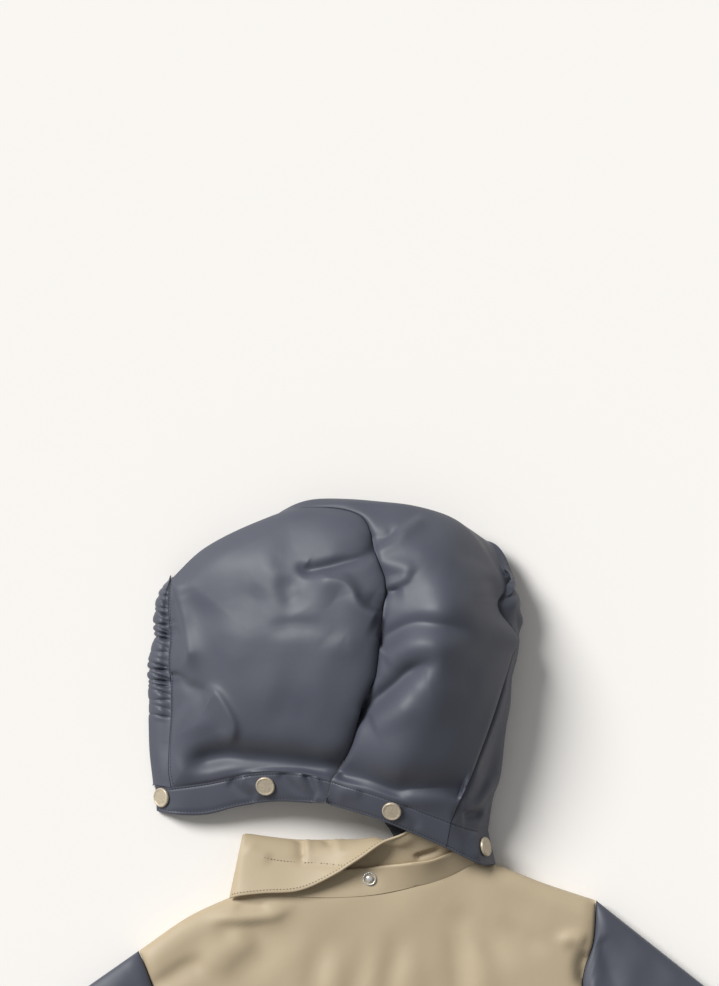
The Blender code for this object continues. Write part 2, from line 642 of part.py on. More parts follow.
def build_neck_band(collar_outer, finish):
    """The strip over the collar's foot, made from the collar's own points, moved out."""
    start, end = (int(round(station * COLLAR_SAMPLES)) for station in NECK_BAND_STATIONS)
    columns = []
    for line in np.swapaxes(collar_outer[:, start:end + 1], 0, 1):
        reached = np.concatenate(((0.0,), np.cumsum(np.linalg.norm(np.diff(line, axis=0), axis=1))))
        wanted = np.linspace(0, NECK_BAND_WIDTH, 4)
        columns.append(np.stack([np.interp(wanted, reached, line[:, k]) for k in range(3)], 1))
    foot = np.swapaxes(np.array(columns), 0, 1)
    normals = grid_normals(foot)
    normals[0] = (0, 0, 1)
    under = foot + normals * NECK_BAND_GAP
    over = under + normals * NECK_BAND_PLY
    closed_wall("neck_band", over, under, finish)
    return over


# ---------------------------------------------------------------- hood


def hood_net():
    """The hood's outer skin as grids of points: left, centre and right panels and the band."""
    stations = np.array(HOOD_STATIONS, float)
    centre = catmull_rom(stations, SAMPLES)
    centre = np.swapaxes(catmull_rom(np.swapaxes(centre, 0, 1), 5), 0, 1)
    crown = CROWN_ROW * SAMPLES
    mid = centre[:, 0]
    right_side = mid[:crown + 1]
    top = mid[crown:][::-1]
    bottom = along(HOOD_LEFT_NECK, np.linspace(0, 1, len(top)))
    left_side = along(CASING_SEAM, np.linspace(0, 1, len(right_side)))
    left = coons(bottom, top, left_side, right_side)
    rear = stations[:, 2]
    rows = [np.concatenate((rear[k:k + 1], np.array(HOOD_RIGHT_ROWS[k], float)))
            for k in range(BACK_ROW)]
    rows.append(rear[BACK_ROW:])
    right = catmull_rom(np.array(rows), SAMPLES)
    right = np.swapaxes(catmull_rom(np.swapaxes(right, 0, 1), SAMPLES), 0, 1)
    corner = BACK_ROW * SAMPLES
    right[:, 0] = centre[:corner + 1, -1]
    right[-1] = centre[corner:, -1]
    return {"left": left, "centre": centre, "right": right}


def swell(count, power):
    return np.sin(np.pi * np.linspace(0, 1, count)) ** power


def shape_hood(skin):
    """Adds the padding's swell and the main folds, and rests the low parts on the floor."""
    left = skin["left"]
    puff = swell(left.shape[0], 0.7)[:, None] * swell(left.shape[1], 0.6)[None]
    left[..., 2] += HOOD_LEFT_PUFF * puff
    fade = np.minimum(1.0, 2.5 * puff)
    left[..., 2] += fade * relief(left[..., 0], left[..., 1], HOOD_LEFT_FOLDS)
    centre = skin["centre"]
    across = swell(centre.shape[1], 0.8)[None]
    over = centre[..., 2] > 30
    fade = across * over * np.minimum(1, np.arange(centre.shape[0]) / 4)[:, None]
    centre[..., 2] += fade * (2.0 + relief(centre[..., 0], centre[..., 1], HOOD_CENTRE_FOLDS))
    for sheet in skin.values():
        sheet[..., 2] = np.maximum(sheet[..., 2], 0.0)
    return skin


def band_sheets(skin):
    """The neck band's three lengths, each three rows from its lower edge to the panels."""
    left_top = np.concatenate((np.linspace(BAND_LEFT_END[0], BAND_LEFT_END[1], 4)[:-1],
                               skin["left"][0]))
    tops = {"band_left": left_top, "band_centre": skin["centre"][0], "band_right": skin["right"][0]}
    lows = {"band_left": BAND_LEFT_LOW, "band_centre": BAND_CENTRE_LOW,
            "band_right": BAND_RIGHT_LOW}
    sheets = {}
    for name, top in tops.items():
        steps = np.concatenate(((0.0,), np.cumsum(np.linalg.norm(np.diff(top, axis=0), axis=1))))
        if name == "band_right":
            low = catmull_rom(lows[name], SAMPLES)
        else:
            low = along(lows[name], steps / steps[-1])
        crown = 0.5 * (low + top)
        crown[:, 2] += 0.8 * np.clip(crown[:, 2] / 20 - 0.5, 0, 1)
        sheets[name] = np.array((low, crown, top))
    return sheets


def merged_normals(sheets):
    """Normals of each sheet, shared where sheets meet along a seam."""
    own = {name: grid_normals(sheet) for name, sheet in sheets.items()}
    total = {}
    for name, sheet in sheets.items():
        for point, normal in zip(sheet.reshape(-1, 3), own[name].reshape(-1, 3)):
            key = tuple(np.round(point, 3))
            total[key] = total.get(key, 0) + normal
    return {name: unit(np.array([total[tuple(np.round(point, 3))] for point in sheet.reshape(-1, 3)]
                                ).reshape(sheet.shape)) for name, sheet in sheets.items()}


def ply_of(sheet, full):
    """Thickness over a panel: pinched at its seams, full inside."""
    rows, columns = sheet.shape[:2]
    from_row = np.minimum(np.arange(rows), np.arange(rows)[::-1])[:, None]
    from_column = np.minimum(np.arange(columns), np.arange(columns)[::-1])[None]
    inside = np.clip(np.minimum(from_row, from_column) / 4, 0, 1)
    return (SEAM_PLY + (full - SEAM_PLY) * inside)[..., None]


def build_hood(finish):
    skin = shape_hood(hood_net())
    sheets = {**skin, **band_sheets(skin)}
    normals = merged_normals(sheets)
    for name, sheet in sheets.items():
        full = BAND_PLY if name.startswith("band") else HOOD_PLY
        inner = sheet - normals[name] * ply_of(sheet, full)
        sides = ("left", "right", "bottom", "top")
        closed_wall(f"hood_{name}", *draw_in(sheet, inner, normals[name], sides, HOOD_SEAM_GAP / 2),
                    finish)
    build_casing(sheets["left"], normals["left"], finish)
    build_far_casing(finish)
    return sheets, normals


def refine(lines, per):
    """Straight-line samples between the points of a polyline."""
    count = len(lines)
    wanted = np.linspace(0, count - 1, (count - 1) * per + 1)
    return np.stack([np.interp(wanted, np.arange(count), lines[:, k]) for k in range(3)], 1)


def build_casing(left, normals, finish):
    """The gathered casing along the near side of the face opening."""
    seam_out = refine(left[:, 0], 2)
    seam_in = refine(left[:, 0] - normals[:, 0] * SEAM_PLY, 2)
    count = len(seam_out)
    edge = along(CASING_EDGE, np.linspace(0, 1, count))
    reach = np.linspace(0, np.linalg.norm(np.diff(edge, axis=0), axis=1).sum(), count)
    depth = np.zeros(count)
    for place, width, deep in GATHERS:
        depth += deep * np.exp(-((reach - place) / width * 1.6) ** 2)
    upper, lower = [], []
    for share, crest in CASING_PROFILE:
        draw = GATHER_DRAW * share * depth
        line = seam_out + share * (edge - seam_out)
        line[:, 0] += draw
        line[:, 2] += crest - depth * GATHER_SINK * math.sin(math.pi * min(share * 1.2, 1.0))
        floor = seam_in + share * (edge - seam_out)
        floor[:, 0] += draw
        floor[:, 2] = np.maximum(seam_in[:, 2] * (1 - 4 * share), 0.0)
        upper.append(line)
        lower.append(floor)
    upper = np.swapaxes(np.array(upper)[::-1], 0, 1)
    lower = np.swapaxes(np.array(lower)[::-1], 0, 1)
    skins = draw_in(upper, lower, grid_normals(upper), ("right", "bottom"), SEAM_GAP)
    closed_wall("hood_casing", *skins, finish)


def build_far_casing(finish):
    line = catmull_rom(FAR_CASING_LINE, SAMPLES)
    run = unit(np.gradient(line, axis=0))
    across = np.stack((run[:, 1], -run[:, 0], run[:, 2]), 1)
    rows = np.array([line + across * (FAR_CASING_GAP + share * FAR_CASING_WIDTH)
                     for share in (0, 0.4, 1)])
    closed_wall("hood_casing_far", with_z(rows, FAR_CASING_TOP), with_z(rows, 0.0), finish)


def build_hood_snaps(sheets, normals, finish):
    """Five caps along the middle of the band."""
    for number, (name, share, raised) in enumerate(HOOD_SNAPS, 1):
        line = sheets[name][1]
        steps = np.linalg.norm(np.diff(line, axis=0), axis=1)
        reached = np.concatenate(((0.0,), np.cumsum(steps))) / steps.sum()
        upwards = line + raised * (sheets[name][2] - line)
        place, facing = (np.array([np.interp(share, reached, values[:, k]) for k in range(3)])
                         for values in (upwards, normals[name][1]))
        turned(f"hood_snap_{number}", cap_profile(), 12, finish, place + unit(facing) * CAP_SEAT,
               facing)


def main():
    clear_scene()
    beige = make_material("beige_shell", (0.50, 0.41, 0.27), 0.45)
    blue = make_material("greyblue_shell", (0.10, 0.12, 0.15), 0.40)
    cap = make_material("tan_snap", (0.55, 0.46, 0.33), 0.35, 0.3)
    silver = make_material("silver_stud", (0.75, 0.75, 0.76), 0.2, 1.0)
    _, _, left, right, underarm = body_outline()
    half = PLACKET_WIDTH / 2
    build_back(beige)
    build_front("front_left", FRONT_NECK_LEFT, SHOULDER_LEFT, left, CENTRE_X - half, beige)
    build_front("front_right", FRONT_NECK_RIGHT, SHOULDER_RIGHT, right, CENTRE_X + half, beige)
    build_placket(beige, cap)
    build_sleeve("sleeve_left", left[underarm:], blue)
    build_sleeve("sleeve_right", right[underarm:], blue)
    collar_outer = build_collar(beige)
    build_collar_front(beige)
    band_top = build_neck_band(collar_outer, beige)
    sheets, normals = build_hood(blue)
    build_hood_snaps(sheets, normals, cap)
    along_band = band_top[2, :, 0]
    place, facing = (np.array([np.interp(STUD_X, along_band, values[2, :, k]) for k in range(3)])
                     for values in (band_top, grid_normals(band_top)))
    turned("neck_stud", stud_profile(), 14, silver, place + STUD_SEAT * unit(facing), facing)


main()
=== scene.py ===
"""Looks of a child's padded jacket laid flat, back up, with a hood unsnapped along its left half.

The tables are in millimetres from the middle of the back neck seam, +X to the viewer's right,
+Y from the hem towards the hood and +Z up from the floor. They are those of the solids, read at
a finer step, with the folds, gathers and stitching of the cloth added.
"""

import math

import bpy
import numpy as np
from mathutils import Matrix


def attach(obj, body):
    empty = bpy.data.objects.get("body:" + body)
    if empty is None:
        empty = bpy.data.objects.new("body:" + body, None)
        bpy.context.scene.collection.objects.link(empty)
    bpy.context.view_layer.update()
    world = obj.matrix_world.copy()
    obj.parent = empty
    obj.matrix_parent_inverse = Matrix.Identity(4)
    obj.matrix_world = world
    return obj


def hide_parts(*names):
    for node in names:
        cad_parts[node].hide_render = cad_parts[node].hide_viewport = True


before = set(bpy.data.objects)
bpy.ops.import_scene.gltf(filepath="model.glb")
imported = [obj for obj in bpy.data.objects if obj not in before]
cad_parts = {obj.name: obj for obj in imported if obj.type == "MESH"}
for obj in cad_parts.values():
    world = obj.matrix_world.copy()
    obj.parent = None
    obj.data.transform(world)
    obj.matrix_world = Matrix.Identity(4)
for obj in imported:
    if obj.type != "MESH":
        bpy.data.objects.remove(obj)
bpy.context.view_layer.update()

MM = 0.001
ORIGIN = np.array((3.0, 200.0, 0.0))  # where that middle lies in the row's frame
UP = np.array((0.0, 0.0, 1.0))

# ---- camera and light

VIEW_CENTRE = (27, 489)  # row frame, what the middle of the picture looks at
VIEW_HEIGHT = 710  # height of the picture on the floor
VIEW_TURN = -6.3  # degrees
CAMERA_DISTANCE = 20000
SENSOR = 36

SUN_TILT = 50  # degrees from upright
SUN_HEADING = 134  # where it shines from, counter-clockwise from +X
SUN_STRENGTH = 3.55
SUN_SPREAD = 26
SKY = (0.985, 0.99, 1)
SKY_STRENGTH = 0.29
FLOOR_HALF = 12  # metres
FLOOR_GAP = 0.0005

# ---- the solids' sizes

SEAM_GAP = 0.3
HOOD_SEAM_GAP = 0.56
BODY_PLY = 9.7
SEAM_PLY = 2.5
SEAM_PLY_REACH = 14
HOOD_PLY = 6
BAND_PLY = 4
COLLAR_PLY = 3.2
COLLAR_FRONT_PLY = 6.2
BODY_TOP = 2 * BODY_PLY + SEAM_GAP + 0.3
LAYER_Z = BODY_PLY
EDGE_RISE = 2.6
CENTRE_X = -3
PLACKET_WIDTH = 30
HEM_Y = -480
FRONT_NECK_Y = -52

SIDE_LEFT = ((-214, -478), (-208, -330), (-203, -188))
ARMHOLE_LEFT = ((-203, -188), (-176, -158), (-161, -112), (-160, -74), (-164, -42), (-170, -21))
SHOULDER_LEFT = ((-170, -21), (-133, -1), (-101, 10), (-88, 14))
NECK_SEAM = ((-88, 14), (-66, 8.5), (-34, 3), (0, 1), (34, 4), (60, 10), (82, 17))
SHOULDER_RIGHT = ((82, 17), (96, 11), (124, -4), (161, -21))
ARMHOLE_RIGHT = ((197, -188), (168, -158), (148, -115), (145, -78), (156, -50), (161, -21))
SIDE_RIGHT = ((208, -478), (202, -330), (197, -188))
FRONT_NECK_LEFT = ((-88, 14), (-66, -20), (-40, -42), (-18, -50))
FRONT_NECK_RIGHT = ((12, -50), (34, -42), (60, -18), (82, 17))

# How the back's face drops towards each kind of edge: (edge, drop, radius of the rounding).
EDGE_DROPS = (
    ("side", 7.6, 18),
    ("shoulder", 7.6, 15),
    ("armhole", 4.6, 11),
    ("hem", 4.6, 12),
)
FRONT_EDGE_RADIUS = 12

# Each cuff's ends: at the sleeve's upper edge and at its lower edge.
SLEEVE_CUFFS = {
    "sleeve_left": ((-487, -214), (-432, -302)),
    "sleeve_right": ((424, -300), (346, -368)),
}
SLEEVE_BOW = 7
SLEEVE_TOP = 20.4
UNDERARM_CURVE = 3
UNDERARM_REACH = 0.06
SLEEVE_LENGTH = 390
SLEEVE_EDGE_DROP = 6.4
SLEEVE_EDGE_RADIUS = 18
SLEEVE_SIDE_WALL = 4
SLEEVE_EDGE_WALL = 2.2
ARMHOLE_DROP = 4.6
CUFF_DROP = 3.4
END_RADIUS = 12
CUFF_HEM = 28
HEM_STITCH_DIP = 1.4
HEM_STITCH_WIDTH = 5
SLIT = 0.8
CUFF_GAPE = 3
CUFF_GAPE_LENGTH = 40
# Where a sleeve's folds fade: reach from its edges, from the armhole, and from the cuff's hem.
FOLDS_FROM_EDGE = 14
FOLDS_FROM_ARMHOLE = 10
FOLDS_FROM_CUFF = 30
FOLDS_CUFF_REACH = 16

COLLAR_STATIONS = (
    ((-89, 8), (-86, 54, 10), (-101, 10, 19), 1),
    ((-80, 12.5), (-82, 54, 10), (-94, 11, 24), 1),
    ((-64, 13.8), (-66, 50, 10), (-76, 11, 26), 1),
    ((-44, 13.8), (-47, 46, 10), (-52, 10, 27), 1),
    ((-22, 13.8), (-25, 43.5, 11), (-31, 16, 29), 1),
    ((-2, 13.8), (-5, 41.5, 15), (-6, 28, 33), 0.9),
    ((14, 13.8), (10, 40.5, 21), (13, 38.5, 36), 0.6),
    ((30, 13.8), (26, 32, 25), (30, 43.5, 37), 0.2),
    ((48, 13.8), (47, 33, 27), (48, 55, 37), 0),
    ((62, 13.8), (64, 34, 25), (64, 55, 33), 0),
    ((74, 12.5), (77, 32, 19), (77, 46, 23), 0),
    ((80, 9.5), (82, 27, 13), (82, 37, 15), 0),
)
COLLAR_SAG = 2.5
COLLAR_BULGE = 4.5
COLLAR_FRONT_TOP = ((-89, 31), (-66, 24), (-34, 20), (0, 18), (34, 20), (60, 22), (80, 26))
COLLAR_FRONT_LIFT = 6.9
COLLAR_FRONT_THIN = 2.7
# Where the collar's front half begins to rise over the hood's band, in X and Y, and how softly.
COLLAR_FRONT_RISE = (-2, -4)
COLLAR_FRONT_RISE_REACH = 14
NECK_BAND_WIDTH = 18
NECK_BAND_STATIONS = (1.5, 10)
NECK_BAND_PLY = 2.8
NECK_BAND_GAP = 0.5
NECK_BAND_FREE_GAP = 0.7
NECK_BAND_SEAM_SHIFT = 1

HOOD_STATIONS = (
    ((-19, 86, 46), (22, 68, 54), (64, 47, 48)),
    ((-4, 106, 56), (34, 90, 69), (79, 70, 52)),
    ((7, 131, 62), (48, 118, 78), (97, 104, 50)),
    ((18.6, 154.5, 66), (62, 146, 84), (109.5, 131, 45)),
    ((27, 184, 67), (74, 176, 85), (121, 159, 36)),
    ((33, 202, 66), (79, 192, 83), (127.3, 173, 32)),
    ((35.5, 219, 64), (82, 208, 78), (115, 197, 39)),
    ((31, 245, 57), (82, 238, 62), (126, 214.5, 22)),
    ((22, 273, 42), (78, 268, 33), (111, 244, 8)),
    ((-16, 283, 31), (0, 284.5, 20), (62, 230, 0)),
    ((-52, 276.5, 25), (-42, 266, 4), (22, 223, 0)),
    ((-91, 262, 18), (-70, 246, 0), (-10, 218, 0)),
    ((-118, 242, 12), (-84, 229, 0), (-40, 215, 0)),
)
CROWN_ROW = 8
BACK_ROW = 7
HOOD_RIGHT_ROWS = (
    ((72, 43, 41), (82.5, 39, 28.5), (87.8, 37.5, 7), (62, 37, 2.8), (37, 37, 2.8)),
    ((88, 71, 38), (101, 72, 24), (92, 68, 2), (60, 65, 0), (27, 62, 0)),
    ((102, 104, 36), (109.6, 104, 22), (98, 102, 1), (56, 98, 0), (10, 92, 0)),
    ((112, 133, 34), (114.6, 133, 22), (102, 134, 0), (50, 130, 0), (-4, 124, 0)),
    ((123, 160, 26), (122, 161, 18), (104, 164, 0), (46, 158, 0), (-16, 150, 0)),
    ((126.7, 174, 23), (125, 175, 14), (106, 182, 0), (42, 178, 0), (-23, 170, 0)),
    ((123, 199, 30), (125.6, 193, 17), (102, 204, 0), (38, 198, 0), (-30, 188, 0)),
)
HOOD_LEFT_NECK = ((-134, 93, 13.5), (-106, 94, 19), (-74, 97, 30), (-43, 94, 40), (-19, 86, 46))
CASING_SEAM = ((-134, 93, 13.5), (-134.5, 106, 13), (-132, 124, 11.5), (-128, 146, 11), (-126, 166, 11),
               (-125.5, 184, 11), (-122.5, 200, 11), (-122, 214, 11), (-121, 228, 11.5),
               (-118, 242, 12))
CASING_EDGE = ((-145.5, 96, 5), (-145.5, 120, 5), (-143.5, 145, 5), (-142, 168, 5),
               (-140.5, 184, 5), (-135, 200, 5), (-133, 216, 5), (-128, 232, 6),
               (-119, 242.3, 10.5))
HOOD_LEFT_PUFF = 20
CASING_PROFILE = ((0, 0), (0.12, 0.3), (0.25, 1), (0.4, 2), (0.5, 2.4), (0.62, 2.2),
                  (0.75, 1.2), (0.85, 0.2), (0.93, -0.6), (1, -1.8))
GATHER_DRAW = 0.5
# Where the casing's gathered part begins, and how full it is below that.
CASING_PLAIN_END = 46
CASING_PLAIN = 0.3
GATHER_SINK = 1.3
FAR_CASING_LINE = ((-112, 234, 0), (-78, 226, 0), (-42, 213, 0), (-30, 184, 0), (-18, 152, 0),
                   (-5, 122, 0), (10, 90, 0), (26.5, 60, 0), (37, 38, 0))
FAR_CASING_GAP = 0.4
FAR_CASING_WIDTH = 11.4
FAR_CASING_TOP = 4.6
FAR_CASING_RIPPLE = 0.45

# The lower edge of the hood's band, a row for each length.
BAND_LOWS = {
    "hood_band_left": ((-146, 78, 3), (-133, 74.4, 12.5), (-111, 72, 14.5), (-86, 75, 20),
                       (-60, 75.5, 26), (-24, 70, 37)),
    "hood_band_centre": ((-24, 70, 37), (15, 53, 45), (58, 29, 41)),
    "hood_band_right": ((58, 29, 41), (69, 21.8, 38), (82, 14.8, 30.5), (91.5, 13.6, 8),
                        (64, 18, 2.8), (38, 20, 2.8)),
}
BAND_LEFT_END = ((-145, 96, 3.4), (-134, 93, 13.5))

# Length of the hood's band, share along it, share of the way from its middle to its upper seam.
HOOD_SNAPS = (
    ("hood_band_left", 0.045, 0.12),
    ("hood_band_left", 0.638, 0.1),
    ("hood_band_centre", 0.52, 0.12),
    ("hood_band_right", 0.322, 0),
    ("hood_band_right", 0.92, 0),
)
CAP_RADIUS = 7
CAP_HEIGHT = 2.2
CAP_SEAT = 0.4
# Outlines of the snaps, from the middle of the back to that of the face: (radius, height).
# A cap is a button with a rolled rim and a slightly sunk middle.
CAP_PROFILE = ((0, 0), (6.5, 0), (6.9, 0.25), (7, 0.6), (7, 1.3), (6.85, 1.75), (6.55, 2.08),
               (6.15, 2.2), (5.75, 2.1), (5.4, 1.88), (4.8, 1.84), (2.5, 1.98), (0, 2.04))
# The stud is a raised ring round a ball on a short neck.
STUD_PROFILE = ((0, -0.6), (4.9, -0.6), (5.1, -0.3), (5.1, 0.8), (4.9, 1.2), (4.45, 1.45), (4, 1.2),
                (3.8, 0.6), (3.7, -0.4), (2.2, -0.4), (1.9, 0.4), (2, 1.1), (2.3, 1.6), (2.45, 2.1),
                (2.3, 2.6), (1.8, 3), (1, 3.25), (0, 3.3))
STUD_X = 1
STUD_ROW = 11
STUD_SEAT = 0.3
PLACKET_SNAPS = 5
PLACKET_SNAP_FIRST_Y = -84
PLACKET_SNAP_PITCH = 88
PLACKET_STITCH = 4
CAP_POCKET = 2.2
CAP_POCKET_SLOPE = 1.4
CAP_POCKET_SPARE = 0.4

# ---- folds of the cloth

# One row a fold: points of its line, height, width on the left of the line and on its right, how
# much of the line it takes to rise and to fade, and how sharp its crest is (2 is soft). The last
# three may be left out.
FOLD_DEFAULTS = (0.4, 0.4, 2)
HOOD_LEFT_FOLDS = (
    (((-25, 247), (-22, 239), (-14.5, 237.3), (-3.6, 238.6), (7.3, 240.5), (18, 242), (30, 245)), -5,
     4.2, 3.2, 0.25, 0, 1.6),
    (((-2, 247), (14, 250), (30, 250.5)), -2.2, 7, 4, 0.7, 0),
    (((-21, 235.5), (-4.5, 230.8), (5.8, 227.4), (11.2, 220.7), (14, 212), (21.7, 205), (31, 198)),
     4.4, 3, 10, 0.25, 0.1, 1.5),
    (((15, 215), (21.5, 208.5), (31, 203.5)), -3.6, 8, 2.6, 0.6, 0, 1.7),
    (((-37, 248), (-50, 236), (-62, 221)), 1.3, 14, 8),
    (((-33, 240), (-34, 224), (-27, 208)), -1.9, 8, 8),
    (((-56, 195), (-45, 199), (-31, 199), (-6.5, 195)), -1.4, 6, 6),
    (((-10, 190), (0, 181), (16, 180)), 1.2, 9, 9),
    (((-126, 173), (-117.7, 171), (-111.4, 165), (-100.7, 158), (-96.9, 153)), -3.4, 2.2, 6, 0.05, 0.5,
     1.6),
    (((-104, 160), (-96, 157), (-89.7, 146.2), (-85.5, 134), (-87, 125), (-93, 118)), 3.8, 4, 8, 0.18,
     0.2, 1.7),
    (((-124, 150), (-112, 139), (-107, 126)), 2, 14, 14, 0.3),
    (((-128, 105.5), (-120.3, 107.6), (-106, 111), (-91.8, 112), (-76.3, 109.6), (-59, 106.4),
     (-42, 102.6), (-25, 98), (-9.5, 95.2)), -10.5, 8.5, 8, 0.2, 0, 1.8),
    (((-116, 246), (-116.3, 230.6), (-114.5, 224.5), (-113, 215), (-112.3, 199), (-112, 184.6),
     (-116, 176)), 4.4, 7, 2.4, 0.15, 0.2, 1.6),
    (((-124, 211.5), (-120, 211.4), (-115, 211)), -1.3, 1.4, 1.4, 0, 0.5, 1.8),
    (((-123, 206.3), (-119, 206), (-114, 205.4)), -1.3, 1.4, 1.4, 0, 0.5, 1.8),
    (((-123, 202.4), (-119, 202.6), (-113, 202.6)), -1.3, 1.4, 1.4, 0, 0.5, 1.8),
    (((-127, 175), (-122, 174.2), (-117, 173)), -1.2, 1.4, 1.4, 0, 0.5, 1.8),
    (((-127, 167.6), (-122, 167.4), (-118, 166.6)), -1.2, 1.4, 1.4, 0, 0.5, 1.8),
    (((-70, 215), (-80, 190), (-84, 165)), 1.2, 14, 12),
    (((-60, 150), (-40, 140), (-20, 132)), -1.4, 12, 12),
    (((-114, 222), (-100, 238), (-78, 252), (-48, 262), (-28, 266)), 3.2, 12, 24, 0.2, 0.3),
)
HOOD_CENTRE_FOLDS = (
    (((71, 268), (55, 258.6), (42, 250.1), (31.5, 244.6)), 3, 6, 2, 0.2, 0, 1.5),
    (((29, 256), (40, 254), (52, 260)), -2.4, 4.5, 4, 0, 0.4, 1.6),
    (((35, 237), (50, 232), (57, 225)), 2.4, 5, 6, 0, 0.3, 1.6),
    (((35, 216.6), (42, 216.4), (49, 216.5)), -3, 2.6, 5, 0, 0.5, 1.5),
    (((36, 220), (45, 222.4), (57, 226.5)), 1.8, 3, 2.4, 0, 0.4, 1.6),
    (((24, 178), (38, 186), (55, 191), (73, 187.5), (90, 181), (104, 176)), -5, 6, 8, 0.05, 0.35, 1.7),
    (((27, 170), (48, 176), (70, 172), (90, 167)), 2.4, 7, 9, 0.1, 0.4, 1.8),
    (((9, 133), (22, 141), (34, 149), (45, 157), (57, 161), (70, 159)), -9, 6.5, 9, 0, 0.35, 1.6),
    (((14, 124), (32, 129), (50, 137)), 2.2, 8, 10, 0.1),
    (((64, 150), (78, 150), (96, 145)), -1.4, 9, 9),
    (((-8.4, 90), (8.6, 85), (27, 76), (39, 75.5), (61, 73), (76, 66.5)), -8, 10, 6, 0, 0.05, 1.8),
    (((60, 236), (80, 226), (100, 222)), -1.5, 12, 12),
    (((88, 210), (104, 204), (118, 200)), 1.8, 8, 8, 0.4, 0.1),
    (((106, 220), (111, 210), (110, 200)), -2.4, 5, 5, 0.3, 0.2, 1.8),
)
HOOD_RIGHT_FOLDS = (
    (((99, 76), (91, 67), (83, 58), (72, 55)), 2, 3, 3, 0.3, 0.1, 1.7),
    (((89, 49), (81, 49), (72, 50)), -3.2, 3, 3, 0.3, 0.2, 1.8),
    (((114, 150), (108, 126), (100, 104)), 1.4, 5, 5, 0.3, 0.3),
)
BACK_FOLDS = (
    (((-122, -3), (-108, -5), (-90, -6.5), (-72, -6.5), (-60, -1.5), (-58, 5)), 2.4, 6, 3.4, 0.3, 0.3,
     1.7),
    (((-118, -10), (-96, -14), (-80, -14), (-66, -10)), -2.2, 5, 10, 0.3),
    (((-100, 2), (-88, 2.5), (-72, 1)), -1.3, 2.6, 2.6, 0.3, 0.3, 1.8),
    (((-84, -16), (-98, -25), (-112, -34), (-122, -46)), 2.6, 11, 13, 0.3, 0.3),
    (((-40, -6), (-60, -17), (-80, -29), (-100, -45), (-112, -66)), -2.4, 14, 11, 0.3),
    (((-119, -34), (-135, -35), (-148, -41), (-163, -48)), -2.6, 8, 5, 0.3, 0, 1.8),
    (((-36, -20), (-44, -46), (-49, -64), (-55, -100)), -1.5, 8, 9, 0.4, 0.5),
    (((-26, -24), (-32, -50), (-36, -90)), 0.9, 8, 8, 0.4, 0.5),
    (((-2, -24), (-12, -52), (-19, -68), (-27, -100)), -1.3, 8, 9, 0.4, 0.5),
    (((8, -14), (1, -42), (-6, -62), (-11, -94)), 1, 9, 9),
    (((19, -24), (11, -50), (5, -68), (0, -104)), -1.3, 8, 9, 0.4, 0.5),
    (((28, -20), (23, -50), (21, -72), (20, -108)), 0.9, 9, 9),
    (((50, -6), (57, -36), (57, -68), (53, -118)), -2, 10, 9, 0.4, 0.5),
    (((64, -16), (70, -46), (73, -70), (74, -108)), 1.2, 9, 9),
    (((52, -12), (68, -26), (82, -42), (98, -66)), -2, 10, 8, 0.3, 0.4, 1.9),
    (((88, -24), (107, -42), (126, -56)), -1.3, 6, 7, 0.4, 0.4, 1.9),
    (((128, -50), (141, -46), (151, -50)), 2.7, 4, 5, 0.4, 0.2, 1.9),
    (((152, -57), (147, -62.5), (145, -69.6), (146, -84)), -4.6, 3, 4.5, 0.15, 0.3, 1.7),
    (((-120, -60), (-104, -92), (-90, -140)), -2.4, 14, 14),
    (((90, -76), (92, -112), (84, -164)), -2.6, 16, 14),
    (((-54, -170), (-62, -250), (-66, -330)), 3, 22, 24),
    (((74, -220), (70, -300), (60, -380)), -3, 24, 24),
    (((-110, -400), (0, -404), (120, -398)), 2.2, 12, 14),
    (((-188, -190), (-150, -214), (-108, -226)), -3.6, 10, 12, 0.1, 0.5, 1.8),
    (((186, -190), (150, -216), (112, -232)), -3.6, 12, 10, 0.1, 0.5, 1.8),
    (((-20, -300), (10, -360), (16, -430)), -2.2, 16, 18),
)

# Gathers of the face casing: (distance along the casing from the neck, width, depth).
GATHERS = (
    (51.5, 0.9, 1.2), (58, 1.3, 0.9), (63, 1.2, 1.2), (69, 1.3, 1.4), (73.5, 1, 2.4),
    (77, 1.1, 3), (80.5, 1, 2.2), (85, 1.2, 3.6), (88.5, 1, 2.2), (93, 1.8, 0.6),
    (98, 1.6, 1.1), (103, 1.4, 1), (108, 1.5, 4.6), (111.5, 1.1, 3.2), (114.5, 1, 1.6),
    (118, 1.1, 2.8), (122, 1.3, 0.8), (125.5, 1.5, 3), (130, 1.2, 1.6), (134.5, 1.3, 1.8),
    (139, 1.2, 1.4), (143.5, 1.2, 1.4),
)

BAND_FOLDS = (
    (((-92, 95), (-84, 86), (-72, 79)), -2, 2.6, 3.4, 0.15, 0.2, 1.7),
    (((-84, 96), (-78, 88), (-66, 80)), 1.6, 2.6, 2.6, 0.15, 0.3, 1.7),
    (((-56, 97), (-46, 85), (-30, 74)), -2.2, 3, 3.4, 0.15, 0.1, 1.7),
    (((-43, 95), (-36.5, 82), (-26, 71.6)), 2.4, 2.8, 2.4, 0.15, 0, 1.7),
    (((-37, 94), (-32, 83), (-26, 72)), -2, 1.8, 2.2, 0.15, 0, 1.7),
    (((-30, 92), (-28.5, 82), (-25, 71)), 1.8, 2, 2, 0.15, 0, 1.7),
    (((-19, 76), (-7, 76.5), (4, 76)), 1.8, 4, 5, 0.3, 0.3),
    (((30, 64), (36, 54), (40, 42)), -1.4, 3, 3, 0.2, 0.3),
    (((78, 38), (81, 30), (82, 20)), 1.4, 2.4, 2, 0.1, 0.1, 1.7),
)
